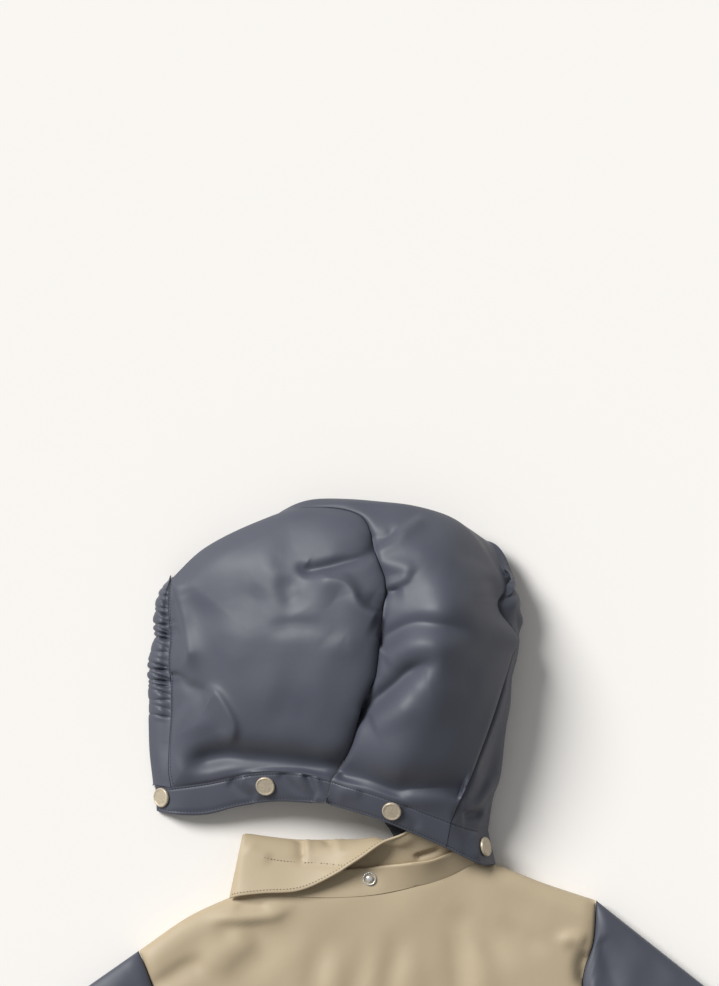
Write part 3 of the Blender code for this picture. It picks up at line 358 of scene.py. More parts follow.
WING_FOLDS = (
    (((-46, 50), (-44.6, 45), (-45, 38), (-46, 28.5)), -2.4, 1.2, 4, 0, 0.15, 1.5),
    (((-42, 50), (-41.4, 42), (-42, 34)), 1.2, 3, 2, 0, 0.4, 1.6),
    (((-27, 47), (-26, 43), (-25.4, 37)), -1.8, 1.4, 3.6, 0, 0.5, 1.5),
    (((-20, 46), (-19.4, 38), (-18.6, 31)), 1, 4, 1.4, 0, 0.2, 1.6),
    (((-72.8, 35.9), (-62.3, 32.6), (-48.2, 29.6), (-33.9, 27.6), (-16.2, 23.9)), -0.9, 2.5, 2.5, 0.1,
     0.1, 1.8),
    (((-86, 46), (-78, 38), (-66, 33)), 1, 5, 4, 0.2, 0.4, 1.8),
)
# The opening over the neck band's free edge, pressed into the collar behind it.
SLIT_FOLDS = (
    (((34, 24.2), (45, 26.2), (56, 29)), -3.4, 1.1, 2.4, 0.15, 0.3, 1.8),
)
# Where a seam inside the wing shows through as a stitched line.
WING_STITCHES = ((-73.5, 36), (-62.3, 32.6), (-48.2, 29.6), (-33.9, 27.6), (-16.2, 23.9))
# Folds of the sleeves: (distance from the armhole, distance across from the upper edge).
SLEEVE_FOLDS = {
    "sleeve_left": (
        (((4, 30), (22, 44), (46, 52)), -2.4, 6, 8, 0.1, 0.5, 1.8),
        (((6, 62), (30, 74), (60, 78)), 1.6, 8, 8, 0.1, 0.5),
        (((8, 104), (30, 96), (52, 92)), -1.8, 7, 6, 0.1, 0.5, 1.8),
        (((14, 140), (34, 118), (60, 104)), -2, 7, 7, 0.1, 0.5, 1.8),
        (((120, 118), (148, 96), (170, 66)), -2, 9, 12, 0.3, 0.4, 1.8),
        (((150, 116), (176, 100), (196, 80)), 1.4, 10, 9, 0.3),
        (((190, 20), (206, 44), (214, 70)), -1.6, 8, 10, 0.3, 0.4, 1.8),
        (((250, 100), (280, 84), (300, 56)), -1.3, 9, 9, 0.3),
    ),
    "sleeve_right": (
        (((4, 24), (20, 40), (40, 46)), -2.2, 6, 8, 0.1, 0.5, 1.8),
        (((5, 58), (28, 66), (54, 68)), 1.7, 8, 8, 0.1, 0.5),
        (((8, 96), (34, 90), (60, 88)), -1.7, 7, 6, 0.1, 0.5, 1.8),
        (((14, 134), (38, 116), (64, 100)), -2.1, 7, 7, 0.1, 0.5, 1.8),
        (((132, 112), (156, 92), (182, 64)), -2.1, 9, 12, 0.3, 0.4, 1.8),
        (((172, 112), (190, 92), (206, 78)), 1.3, 10, 9, 0.3),
        (((206, 18), (218, 40), (224, 66)), -1.5, 8, 10, 0.3, 0.4, 1.8),
        (((262, 96), (288, 76), (306, 52)), -1.4, 9, 9, 0.3),
    ),
}
# Sewn lines of the fronts, on the side that lies down.
FRONT_LINES = {
    "front_left": (
        (((-24, -470), (-24, -60)), 0.5, 0.9, 0.9, 0, 0),
    ),
    "front_right": (
        (((18, -470), (18, -60)), 0.5, 0.9, 0.9, 0, 0),
    ),
}
# Rounding of every fold's crest.
CREST_ROUND = 0.8
NECK_DROP = 0.5
NECK_DROP_REACH = 4
BACK_HEM = 26
BODY_WAVES = 0.28
HOOD_WAVES = 0.4
# Their length and the seed of their directions. On fronts and sleeves the seed is the name's length.
BACK_RIPPLES = (46, 3)
LEFT_RIPPLES = (42, 11)
CENTRE_RIPPLES = (40, 12)
RIGHT_RIPPLES = (30, 13)
FRONT_RIPPLE_LENGTH = 60
SLEEVE_RIPPLE_LENGTH = 34
PILLOW = 1.6
PILLOW_REACH = 7
BAND_FADE = 5  # how softly a panel's folds begin at the band
# Height over which the centre panel is off the floor, and how softly it begins there.
OFF_FLOOR = 26
OFF_FLOOR_REACH = 8
CENTRE_PUFF = 2
# How deep the seams are pulled in: (share of the seam's length from the band, depth).
MID_SEAM_SINK = ((0, 0.5), (0.03, 3.5), (0.1, 5.5), (0.18, 5.5), (0.22, 3), (0.3, 2.2), (0.34, 3),
                 (0.39, 1), (0.47, 1), (0.5, 3.2), (0.56, 3.2), (0.6, 2), (0.75, 1.6), (1, 0.3))
# How far the seam strays sideways from the stations: (share of its length, to the right).
MID_SEAM_BENDS = ((0, 0), (0.11, 0), (0.165, -1.6), (0.19, -3), (0.212, -0.8), (0.24, 1.6),
                  (0.28, 0.8), (0.33, -1.6), (0.38, -2), (0.44, 0.6), (0.5, -1), (0.56, 0), (1, 0))
BEND_REACH = 9
MID_SEAM_WAY = (0.12, 0, -1)
REAR_SEAM_SINK = ((0, 0.5), (0.06, 4), (0.3, 6), (0.5, 6), (0.62, 2.5), (0.8, 2), (0.87, 3.5),
                  (0.93, 3), (1, 0))
REAR_SEAM_WAY = (-0.55, 0, -0.7)
# How far the pull reaches on the left panel, the centre panel at either seam and the right panel.
LEFT_PULL, MID_PULL, REAR_PULL, RIGHT_PULL = 4.6, 1.8, 1.4, 3.2
# Where the right panel swells past the rear seam, and how far.
RIGHT_BULGE_AT = (120, 206)
RIGHT_BULGE_REACH = 12
RIGHT_BULGE = 14
GATHER_SLANT = 3
GATHER_CREST = 1.35
COLLAR_EDGE_PLY = 1.8
COLLAR_EDGE_REACH = 9
SLIT_X = 45
SLIT_HALF_LENGTH = 10
SLIT_LIFT = 2.2
STUD_DIMPLE = 0.9
STUD_DIMPLE_REACH = 8

# Stitched lines: distances from the edge in millimetres, or shares of the band's width.
COLLAR_STITCH = 1.8
BAND_LOW_STITCH = 1.6
BAND_TOP_STITCH = 1.4
BAND_STITCH_ROWS = (0.08, 0.92)
CASING_STITCH = 2.4
# How deep the cloth is drawn in along a stitched line, and how wide.
STITCH_SINK = 0.5
STITCH_SINK_WIDTH = 0.9
BAND_STITCH_SINK = 0.4

# Bumps of a finish: scale of their noise, strength, height in metres.
CLOTH_BUMPS = ((1400, 0.12, 0.0002), (55, 0.25, 0.001))
METAL_BUMPS = ((1500, 0.3, 0.0002),)
# One row a finish: the record's slot, darker and lighter colour, scale and detail of the mottling
# between them, bumps, least and greatest roughness where it is uneven, plain values of the shader.
FINISHES = {
    "beige_cloth": ("beige_shell", (0.448, 0.36, 0.234), (0.478, 0.387, 0.254), (14, 3), CLOTH_BUMPS,
                    (0.51, 0.6), {"Sheen Weight": 0.05, "Sheen Roughness": 0.5}),
    "greyblue_cloth": ("greyblue_shell", (0.062, 0.067, 0.09), (0.069, 0.075, 0.099), (14, 3),
                       CLOTH_BUMPS, (0.48, 0.57), {"Sheen Weight": 0.04, "Sheen Roughness": 0.5}),
    # The threads have the cloth's own colour; their far darker colours here are painted shade of the
    # stitch holes.
    "beige_thread_painted_shade": ("beige_shell", (0.12, 0.092, 0.056), (0.15, 0.115, 0.07), (900, 1), (), None,
                     {"Roughness": 0.75}),
    "greyblue_thread_painted_shade": ("greyblue_shell", (0.008, 0.0088, 0.012), (0.01, 0.011, 0.015), (900, 1),
                        (), None, {"Roughness": 0.75}),
    "tan_cap": ("tan_snap", (0.46, 0.385, 0.28), (0.62, 0.54, 0.41), (900, 3), METAL_BUMPS, None,
                {"Metallic": 0.35, "Roughness": 0.38}),
    "bright_stud": ("silver_stud", (0.8, 0.8, 0.8), (0.93, 0.93, 0.93), (900, 3), METAL_BUMPS, None,
                    {"Metallic": 0.75, "Roughness": 0.28}),
    "floor_paint": (None, (0.938285, 0.91341, 0.87361), (0.943, 0.918, 0.878), (3, 2), (), None,
                    {"Roughness": 0.9, "Specular IOR Level": 0}),
}
CAP_SIDES = 56
RIM_STEPS = 4
# The first and the second line of a grid from each side.
SIDES = {
    "left": (np.s_[:, 0], np.s_[:, 1]),
    "right": (np.s_[:, -1], np.s_[:, -2]),
    "bottom": (0, 1),
    "top": (-1, -2),
}
STITCH_LENGTH = 1.5
STITCH_PITCH = 2.4
STITCH_HALF_WIDTH = 0.42
STITCH_HALF_HEIGHT = 0.336
STITCH_LIFT = 0.1

# Samples of a curve and of a fold's line in each interval between given points.
CURVE_SAMPLES = 24
FOLD_SAMPLES = 8
# Samples of the surfaces: between neighbouring stations, and along each edge of the body.
FINE = 20
ACROSS = 44
COLLAR_FINE = 12
COLLAR_ACROSS = 12
SIDE_STEPS = 76
ARM_STEPS = 72
SHOULDER_STEPS = 32
NECK_STEPS = 90
SLEEVE_ROWS = 130
SLEEVE_ROW_CROWDING = 0.6
SLEEVE_EDGE_CROWDING = 0.75
CASING_LINES = 34
FAR_CASING_LINES = 12
PLACKET_GRID = (31, 430)
# Columns that are drawn towards each side of the back and of a front.
BACK_SIDE_COLUMNS = 6
FRONT_SIDE_COLUMNS = 5
BAND_STEPS = (0, 0.035, 0.07, 0.105, 0.15, 0.25, 0.37, 0.5, 0.63, 0.75, 0.84, 0.885, 0.92, 0.96, 1)


# ---- curves and grids


def catmull_rom(points, per):
    """Points of a uniform Catmull-Rom curve along axis 0, with per samples in each interval."""
    points = np.asarray(points, float)
    padded = np.concatenate((2 * points[:1] - points[1:2], points, 2 * points[-1:] - points[-2:-1]))
    rows = []
    for index in range(len(points) - 1):
        a, b, c, d = padded[index:index + 4]
        for t in np.arange(per) / per:
            rows.append(b + 0.5 * t * (c - a + t * (2 * a - 5 * b + 4 * c - d
                                                    + t * (3 * (b - c) + d - a))))
    rows.append(points[-1])
    return np.array(rows)


def lengths_along(line):
    """Distance along a line to each of its points."""
    return np.concatenate(((0.0,), np.cumsum(np.linalg.norm(np.diff(line, axis=0), axis=1))))


def at_places(line, places, values=None):
    """The line, or values given at its points, at distances along it."""
    values = line if values is None else values
    reached = lengths_along(line)
    return np.stack([np.interp(places, reached, column) for column in values.T], 1)


def along(points, fractions):
    """Points of the smooth curve through points, at fractions of its length."""
    fine = catmull_rom(points, CURVE_SAMPLES)
    return at_places(fine, np.asarray(fractions) * lengths_along(fine)[-1])


def spread(count, crowding=0.0):
    """Fractions from 0 to 1, crowded towards both ends."""
    even = np.linspace(0, 1, count)
    return even - crowding * np.sin(2 * math.pi * even) / (2 * math.pi)


def coons(bottom, top, left, right):
    """The grid between four boundary curves, rows from bottom to top."""
    u = np.linspace(0, 1, len(left))[:, None, None]
    v = np.linspace(0, 1, len(bottom))[None, :, None]
    ruled = (1 - u) * bottom[None] + u * top[None] + (1 - v) * left[:, None] + v * right[:, None]
    corners = ((1 - u) * ((1 - v) * bottom[0] + v * bottom[-1])
               + u * ((1 - v) * top[0] + v * top[-1]))
    return ruled - corners


def unit(vectors):
    return vectors / np.maximum(np.linalg.norm(vectors, axis=-1, keepdims=True), 1e-9)


def grid_normals(grid):
    return unit(np.cross(np.gradient(grid, axis=1), np.gradient(grid, axis=0)))


def with_z(plan, z):
    return np.concatenate((plan[..., :2], np.broadcast_to(z, plan.shape[:-1])[..., None]), axis=-1)


def smooth(value):
    t = np.clip(value, 0, 1)
    return t * t * (3 - 2 * t)


def rounding(distance, radius):
    """1 at an edge, falling to 0 at radius from it along a quarter circle."""
    t = np.clip(distance / radius, 0, 1)
    return 1 - np.sqrt(1 - (1 - t) ** 2)


def bump_at(distance, width, power=2):
    """1 at distance 0, fading over width on both sides."""
    return np.exp(-(np.abs(distance) / width) ** power)


def nearest_on(points, curve):
    """For each point: distance to a polyline, side of it (1 is left), and place along it."""
    shape = points.shape[:-1]
    best, side, place = np.full(shape, np.inf), np.ones(shape), np.zeros(shape)
    for start, end, reached in zip(curve[:-1], curve[1:], lengths_along(curve)):
        run = end - start
        size = run @ run
        if size == 0:
            continue
        offset = points - start
        t = np.clip((offset @ run) / size, 0, 1)
        distance = np.linalg.norm(offset - t[..., None] * run, axis=-1)
        closer = distance < best
        best = np.where(closer, distance, best)
        turn = run[0] * offset[..., 1] - run[1] * offset[..., 0]
        side = np.where(closer, np.where(turn >= 0, 1.0, -1.0), side)
        place = np.where(closer, reached + t * math.sqrt(size), place)
    return best, side, place


def distance_to(points, *curves):
    return np.min([nearest_on(points, curve)[0] for curve in curves], axis=0)


def fold_relief(grid, folds):
    """Height that a table of folds adds over a grid, read in plan."""
    height = np.zeros(grid.shape[:2])
    for row in folds:
        points, rise, left, right, rising, fading, crest = *row, *FOLD_DEFAULTS[len(row) - 4:]
        line = catmull_rom(points, FOLD_SAMPLES)
        distance, side, place = nearest_on(grid[..., :2], line)
        distance = np.hypot(distance, CREST_ROUND) - CREST_ROUND
        share = place / lengths_along(line)[-1]
        fade = smooth(share / rising) if rising else 1
        if fading:
            fade = fade * smooth((1 - share) / fading)
        height += rise * fade * bump_at(distance, np.where(side > 0, left, right), crest)
    return height


def waves(points, length, seed, count=14):
    """A smooth uneven field of about unit height, with ripples of about the given length."""
    random = np.random.default_rng(seed)
    total = np.zeros(points.shape[:-1])
    for _ in range(count):
        direction = unit(random.normal(size=3))
        phase = random.uniform(0, 2 * math.pi)
        total += np.sin(points @ direction * 2 * math.pi / (length * random.uniform(0.7, 1.5))
                        + phase)
    return total / math.sqrt(count / 2)


# ---- meshes


def add_piece(name, vertices, faces, material, node=None, sharp=50):
    """A piece in the row frame, riding on the part, in place of the named solid."""
    mesh = bpy.data.meshes.new(name)
    mesh.from_pydata(((vertices + ORIGIN) * MM).tolist(), [], faces)
    mesh.materials.append(material)
    mesh.shade_smooth()
    mesh.set_sharp_from_angle(angle=math.radians(sharp))
    made = bpy.data.objects.new(name, mesh)
    bpy.context.scene.collection.objects.link(made)
    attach(made, "root")
    if node:
        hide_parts(node)
    return made


def add_cloth(name, vertices, faces, material, node=None):
    """A piece of cloth in place of its solid, with its faces outward."""
    a, b, c, d = (vertices[faces[:, k]] for k in range(4))
    volume = np.sum(a * np.cross(b, c)) + np.sum(a * np.cross(c, d))
    faces = faces if volume > 0 else faces[:, ::-1]
    piece = add_piece(name + "_cloth", vertices, faces.tolist(), material, node or name)


def closed_wall(name, upper, lower, material, free=(), bulge=0.5, node=None):
    """A closed wall between two grids, its free sides rounded between the two skins."""
    rows, columns = upper.shape[:2]
    size = rows * columns
    index = np.arange(size).reshape(rows, columns)
    top = np.stack((index[:-1, :-1], index[:-1, 1:], index[1:, 1:], index[1:, :-1]), -1)
    top = top.reshape(-1, 4)
    ring = np.concatenate((index[0, :-1], index[:-1, -1], index[-1, :0:-1], index[:0:-1, 0]))
    row, column = ring // columns, ring % columns
    inside = np.clip(row, 1, rows - 2) * columns + np.clip(column, 1, columns - 2)
    over, under = upper.reshape(-1, 3), lower.reshape(-1, 3)
    edge, foot = over[ring], under[ring]
    loose = np.zeros((rows, columns))
    for side in free:
        loose[SIDES[side][0]] = 1
    half = (edge - foot) / 2
    away = unit((edge + foot) - (over[inside] + under[inside]))
    away = away * np.linalg.norm(half, axis=1, keepdims=True) * bulge * 2 * loose[row, column, None]
    layers = [over, under]
    for step in range(1, RIM_STEPS):
        angle = math.pi * step / RIM_STEPS
        layers.append((edge + foot) / 2 + half * math.cos(angle) + away * math.sin(angle))
    count = len(ring)
    loops = [ring] + [2 * size + k * count + np.arange(count) for k in range(RIM_STEPS - 1)]
    loops.append(ring + size)
    faces = [top, top[:, ::-1] + size]
    for high, low in zip(loops, loops[1:]):
        faces.append(np.stack((np.roll(high, -1), high, low, np.roll(low, -1)), 1))
    vertices = np.concatenate(layers)
    vertices[:, 2] = np.maximum(vertices[:, 2], 0)
    add_cloth(name, vertices, np.concatenate(faces), material, node)


def inward_from(edge, inner, normals):
    square = unit(np.cross(normals, np.gradient(edge, axis=0)))
    return square if np.sum(square * (inner - edge)) > 0 else -square


def draw_in(upper, lower, normals, sides, gap):
    """Both skins of a wall, with the named sides moved in by gap, square to the seams."""
    normals = np.broadcast_to(normals, upper.shape)
    skins = [upper.copy(), lower.copy()]
    for side in sides:
        edge, inner = SIDES[side]
        step = inward_from(upper[edge], upper[inner], normals[edge]) * gap
        for skin in skins:
            skin[edge] += step
    return skins


def closed_tube(name, outer, lining, material):
    """A tube wall from rings of the same size, open at both ends."""
    rows, columns = outer.shape[:2]
    size = rows * columns
    index = np.arange(size).reshape(rows, columns)
    after = np.roll(index, -1, axis=1)
    skin = np.stack((index[:-1], index[1:], after[1:], after[:-1]), -1).reshape(-1, 4)
    start = np.stack((index[0], after[0], after[0] + size, index[0] + size), 1)
    end = np.stack((after[-1], index[-1], index[-1] + size, after[-1] + size), 1)
    vertices = np.concatenate((outer.reshape(-1, 3), lining.reshape(-1, 3)))
    add_cloth(name, vertices, np.concatenate((skin, skin[:, ::-1] + size, start, end)), material)


def turned(name, node, profile, material, centre, axis):
    """A solid turned from (radius, height) pairs about an axis at centre."""
    across = unit(np.cross(UP if abs(axis[2]) < 0.9 else (1, 0, 0), axis))
    other = np.cross(axis, across)
    angles = np.arange(CAP_SIDES) * 2 * math.pi / CAP_SIDES
    ring = np.cos(angles)[:, None] * across + np.sin(angles)[:, None] * other
    vertices = [centre + profile[0][1] * axis]
    for radius, height in profile[1:-1]:
        vertices.extend(centre + radius * ring + height * axis)
    last = len(vertices)
    top = last - CAP_SIDES
    vertices.append(centre + profile[-1][1] * axis)
    faces = []
    for side in range(CAP_SIDES):
        after = (side + 1) % CAP_SIDES
        faces += [(0, 1 + after, 1 + side), (top + side, top + after, last)]
        for low in range(1, top, CAP_SIDES):
            high = low + CAP_SIDES
            faces.append((low + side, low + after, high + after, high + side))
    add_piece(name, np.array(vertices), faces, material, node, sharp=35)


def add_stitches(name, rows, material):
    """Short threads along lines on the cloth, each line given with the cloth's normals."""
    threads = []
    for line, normals in rows:
        total = lengths_along(line)[-1]
        places = np.arange(STITCH_PITCH / 2, total, STITCH_PITCH)
        ends, starts = (at_places(line, np.clip(places + k, 0, total)) for k in (0.5, -0.5))
        facing, run = unit(at_places(line, places, normals)), unit(ends - starts)
        middles = at_places(line, places) + facing * STITCH_LIFT
        feet, reach = middles - facing * STITCH_LIFT, run * STITCH_LENGTH / 2
        wide = unit(np.cross(facing, run)) * STITCH_HALF_WIDTH
        high = facing * STITCH_HALF_HEIGHT
        threads.append(np.stack((feet - reach, feet + reach, middles + wide, middles + high,
                                 middles - wide, middles - high), 1).reshape(-1, 3))
    vertices = np.concatenate(threads)
    corners = []
    for one, two in ((2, 3), (3, 4), (4, 5), (5, 2)):
        corners += [(0, two, one), (1, one, two)]
    faces = 6 * np.arange(len(vertices) // 6)[:, None, None] + np.array(corners)
    add_piece(name, vertices, faces.reshape(-1, 3).tolist(), material)


# ---- materials


def finish(name):
    """The finish of that name, as a material of procedural nodes."""
    _, low, high, mottling, bumps, gloss, plain = FINISHES[name]
    material = bpy.data.materials.new(name)
    material.use_nodes = True
    nodes, links = material.node_tree.nodes, material.node_tree.links
    shader = nodes["Principled BSDF"]

    def noise(scale, detail):
        place = nodes.new("ShaderNodeTexCoord")
        texture = nodes.new("ShaderNodeTexNoise")
        texture.inputs["Scale"].default_value = scale
        texture.inputs["Detail"].default_value = detail
        links.new(place.outputs["Object"], texture.inputs["Vector"])
        return texture.outputs["Fac"]

    ramp = nodes.new("ShaderNodeValToRGB")
    for element, position, colour in zip(ramp.color_ramp.elements, (0.3, 0.7), (low, high)):
        element.position = position
        element.color = (*colour, 1)
    links.new(noise(*mottling), ramp.inputs["Fac"])
    links.new(ramp.outputs["Color"], shader.inputs["Base Color"])
    if gloss:
        uneven = nodes.new("ShaderNodeMapRange")
        uneven.inputs["To Min"].default_value, uneven.inputs["To Max"].default_value = gloss
        links.new(noise(40, 2), uneven.inputs["Value"])
        links.new(uneven.outputs["Result"], shader.inputs["Roughness"])
    below = None
    for scale, strength, distance in bumps:
        bump = nodes.new("ShaderNodeBump")
        bump.inputs["Strength"].default_value = strength
        bump.inputs["Distance"].default_value = distance
        links.new(noise(scale, 2), bump.inputs["Height"])
        if below:
            links.new(below, bump.inputs["Normal"])
        below = bump.outputs["Normal"]
        links.new(below, shader.inputs["Normal"])
    for socket, value in plain.items():
        shader.inputs[socket].default_value = value
    return material


# ---- body


def body_outline():
    """The back panel's four boundary curves."""
    side, arm, shoulder = (spread(count, 0.3) for count in (SIDE_STEPS, ARM_STEPS, SHOULDER_STEPS))
    left = np.concatenate((along(SIDE_LEFT, side), along(ARMHOLE_LEFT, arm)[1:]))
    right = np.concatenate((along(SIDE_RIGHT, side), along(ARMHOLE_RIGHT, arm)[1:]))
    top = np.concatenate((along(SHOULDER_LEFT, shoulder), along(NECK_SEAM, spread(NECK_STEPS))[1:],
                          along(SHOULDER_RIGHT, shoulder)[1:]))
    shares = lengths_along(top)
    bottom = along((left[0], (CENTRE_X, HEM_Y), right[0]), shares / shares[-1])
    return bottom, top, left, right


def crowd_sides(grid, count):
    """Moves the columns next to the grid's sides towards them, for well rounded edges."""
    for end, step in ((0, 1), (-1, -1)):
        for k in range(1, count):
            share = 0.5 * (1 - k / count)
            near = end + step * k
            grid[:, near] = (1 - share) * grid[:, near] + share * grid[:, end]
    return grid


def build_back(cloth):
    """The back: padding, edge roundings, the neck seam's groove and the folds."""
    bottom, top, left, right = body_outline()
    grid = crowd_sides(coons(bottom, top, left, right), BACK_SIDE_COLUMNS)
    underarm = SIDE_STEPS - 1
    edges = {
        "side": (left[:underarm + 1:4], right[:underarm + 1:4]),
        "armhole": (left[underarm::3], right[underarm::3]),
        "shoulder": (top[:SHOULDER_STEPS:3], top[-SHOULDER_STEPS::3]),
        "hem": (bottom[::6],),
    }
    height = np.full(grid.shape[:2], BODY_TOP)
    for edge, drop, radius in EDGE_DROPS:
        height -= drop * rounding(distance_to(grid, *edges[edge]), radius)
    neck = distance_to(grid, top[SHOULDER_STEPS - 1:1 - SHOULDER_STEPS:3])
    height -= NECK_DROP * np.exp(-neck / NECK_DROP_REACH)
    hem = distance_to(grid, *edges["hem"])
    height -= HEM_STITCH_DIP * bump_at(hem - BACK_HEM, HEM_STITCH_WIDTH)
    height += fold_relief(grid, BACK_FOLDS) + BODY_WAVES * waves(with_z(grid, 0), *BACK_RIPPLES)
    upper = with_z(grid, np.maximum(height, LAYER_Z + SEAM_GAP + EDGE_RISE))
    lower = with_z(grid, LAYER_Z + SEAM_GAP)
    skins = draw_in(upper, lower, UP, ("left", "right", "top"), SEAM_GAP / 2)
    closed_wall("back", *skins, cloth, free=("bottom",), node="back_panel")


def build_front(name, neck, shoulder, flank, edge_x, cloth):
    """One front on the floor, its placket edge at edge_x."""
    on_left = edge_x < CENTRE_X
    shoulder, neck = along(shoulder, spread(20)), along(neck, spread(50))
    top = np.concatenate((shoulder, neck[1:]) if on_left else (neck, shoulder[1:]))
    heights = np.linspace(HEM_Y, top[-1 if on_left else 0, 1], len(flank))
    placket = np.stack((np.full(len(flank), edge_x), heights), 1)
    left, right = (flank, placket) if on_left else (placket, flank)
    bottom = np.linspace(left[0], right[0], len(top))
    grid = crowd_sides(coons(bottom, top, left, right), FRONT_SIDE_COLUMNS)
    reach = distance_to(grid, flank[::4], shoulder)
    folds = np.clip(BODY_WAVES * waves(with_z(grid, 0), FRONT_RIPPLE_LENGTH, len(name)), 0, 1)
    lower = ((LAYER_Z - EDGE_RISE) * rounding(reach, FRONT_EDGE_RADIUS)
             + smooth(reach / FRONT_EDGE_RADIUS - 0.5) * folds
             + fold_relief(grid, FRONT_LINES[name]))
    skins = draw_in(with_z(grid, LAYER_Z), with_z(grid, lower), UP, ("left", "right", "top"),
                    SEAM_GAP / 2)
    closed_wall(name, *skins, cloth, free=("bottom",))


def build_placket(cloth, cap_metal):
    """The strip between the fronts, with the closure's caps set flush in its underside."""
    half = PLACKET_WIDTH / 2 - SEAM_GAP
    columns, rows = PLACKET_GRID
    grid = np.stack(np.meshgrid(np.linspace(CENTRE_X - half, CENTRE_X + half, columns),
                                np.linspace(HEM_Y, FRONT_NECK_Y + 1, rows)), -1)
    sunk = np.zeros(grid.shape[:2])
    for number in range(PLACKET_SNAPS):
        centre = (CENTRE_X, PLACKET_SNAP_FIRST_Y - number * PLACKET_SNAP_PITCH)
        from_cap = np.linalg.norm(grid - centre, axis=-1)
        pocket = smooth((CAP_RADIUS + CAP_POCKET - from_cap) / CAP_POCKET_SLOPE)
        sunk = np.maximum(sunk, (CAP_HEIGHT + CAP_POCKET_SPARE) * pocket)
        turned(f"placket_cap_{number + 1}", f"placket_snap_{number + 1}", CAP_PROFILE, cap_metal,
               np.array((*centre, CAP_HEIGHT)), -UP)
    stitched = bump_at(np.abs(grid[..., 0] - CENTRE_X) - half + PLACKET_STITCH, STITCH_SINK_WIDTH)
    lower = with_z(grid, np.maximum(sunk, STITCH_SINK * stitched))
    closed_wall("placket", with_z(grid, LAYER_Z), lower, cloth, node="front_placket")


# ---- sleeves


def sleeve_plan(armhole, cuff_top, cuff_low):
    """Grid of plan points, a row for each station from the armhole to the cuff."""
    cross = np.linspace(0, 1, len(armhole))[:, None]
    top, low = armhole[-1], armhole[0]
    seam_bend = armhole[::-1] - (top + cross * (low - top))
    rows = []
    for s in spread(SLEEVE_ROWS, SLEEVE_ROW_CROWDING):
        start = top + s * (np.array(cuff_top) - top)
        end = low + s * (np.array(cuff_low) - low)
        away = unit(start - end)
        bow = SLEEVE_BOW * math.sin(math.pi * s)
        curve = UNDERARM_CURVE * (s / UNDERARM_REACH) * math.exp(1 - s / UNDERARM_REACH)
        start = start + away * bow
        end = end + away * (0.6 * bow + curve)
        rows.append(start + cross * (end - start) + seam_bend * (1 - s) ** 3)
    return np.array(rows)


def build_sleeve(name, armhole, cloth):
    """A flattened padded tube: outer loop over and under, inner loop a slit that gapes."""
    plan = sleeve_plan(armhole, *SLEEVE_CUFFS[name])
    flat = with_z(plan[:2], 0)
    plan[0] += inward_from(flat[0], flat[1], UP)[:, :2] * SEAM_GAP
    rows, columns = plan.shape[:2]
    crowded, even = spread(columns, SLEEVE_EDGE_CROWDING), np.linspace(0, 1, columns)
    moved = [np.stack([np.interp(crowded, even, k) for k in line.T], 1) for line in plan]
    plan = plan + (np.array(moved) - plan) * smooth(np.arange(rows) / 6)[:, None, None]
    width = np.linalg.norm(plan[:, -1] - plan[:, 0], axis=1)[:, None]
    across = np.linalg.norm(plan - plan[:, :1], axis=-1)
    to_edge = np.minimum(across, width - across)
    stations = spread(SLEEVE_ROWS, SLEEVE_ROW_CROWDING)[:, None]
    from_armhole, from_cuff = stations * SLEEVE_LENGTH, (1 - stations) * SLEEVE_LENGTH
    groove = (ARMHOLE_DROP * rounding(from_armhole, END_RADIUS)
              + CUFF_DROP * rounding(from_cuff, END_RADIUS)
              + HEM_STITCH_DIP * bump_at(from_cuff - CUFF_HEM, HEM_STITCH_WIDTH))
    place = np.stack((np.broadcast_to(from_armhole, across.shape), across), -1)
    inside = smooth(to_edge / FOLDS_FROM_EDGE) * smooth(from_armhole / FOLDS_FROM_ARMHOLE)
    inside = inside * smooth((from_cuff - FOLDS_FROM_CUFF) / FOLDS_CUFF_REACH)
    folds = (fold_relief(place, SLEEVE_FOLDS[name])
             + BODY_WAVES * waves(with_z(plan, 0), SLEEVE_RIPPLE_LENGTH, len(name))) * inside
    upper_z = SLEEVE_TOP - SLEEVE_EDGE_DROP * rounding(to_edge, SLEEVE_EDGE_RADIUS) - groove + folds
    lower_z = (LAYER_Z - SLEEVE_EDGE_WALL) * rounding(to_edge, END_RADIUS)
    gape = SLIT + (CUFF_GAPE - SLIT) * smooth(1 - from_cuff / CUFF_GAPE_LENGTH)
    middle = 0.5 * (plan[:, :1] + plan[:, -1:])
    inner = middle + (plan - middle) * (1 - 2 * SLEEVE_SIDE_WALL / width)[:, :, None]
    hollow = SLIT / 4 + 0.5 * gape * np.sqrt(np.clip(1 - (2 * across / width - 1) ** 4, 0, 1))
    centre_z = LAYER_Z + SEAM_GAP / 2
    over = with_z(plan, np.maximum(upper_z, centre_z + CUFF_GAPE))
    outer = np.concatenate((over, with_z(plan, lower_z)[:, ::-1]), axis=1)
    lining = np.concatenate((with_z(inner, centre_z + hollow),
                             with_z(inner, centre_z - hollow)[:, ::-1]), axis=1)
    closed_tube(name, outer, lining, cloth)
    line = over[int(np.argmin(np.abs(from_cuff[:, 0] - CUFF_HEM))), 3:-3]
    return line, np.broadcast_to(UP, line.shape)


# ---- collar


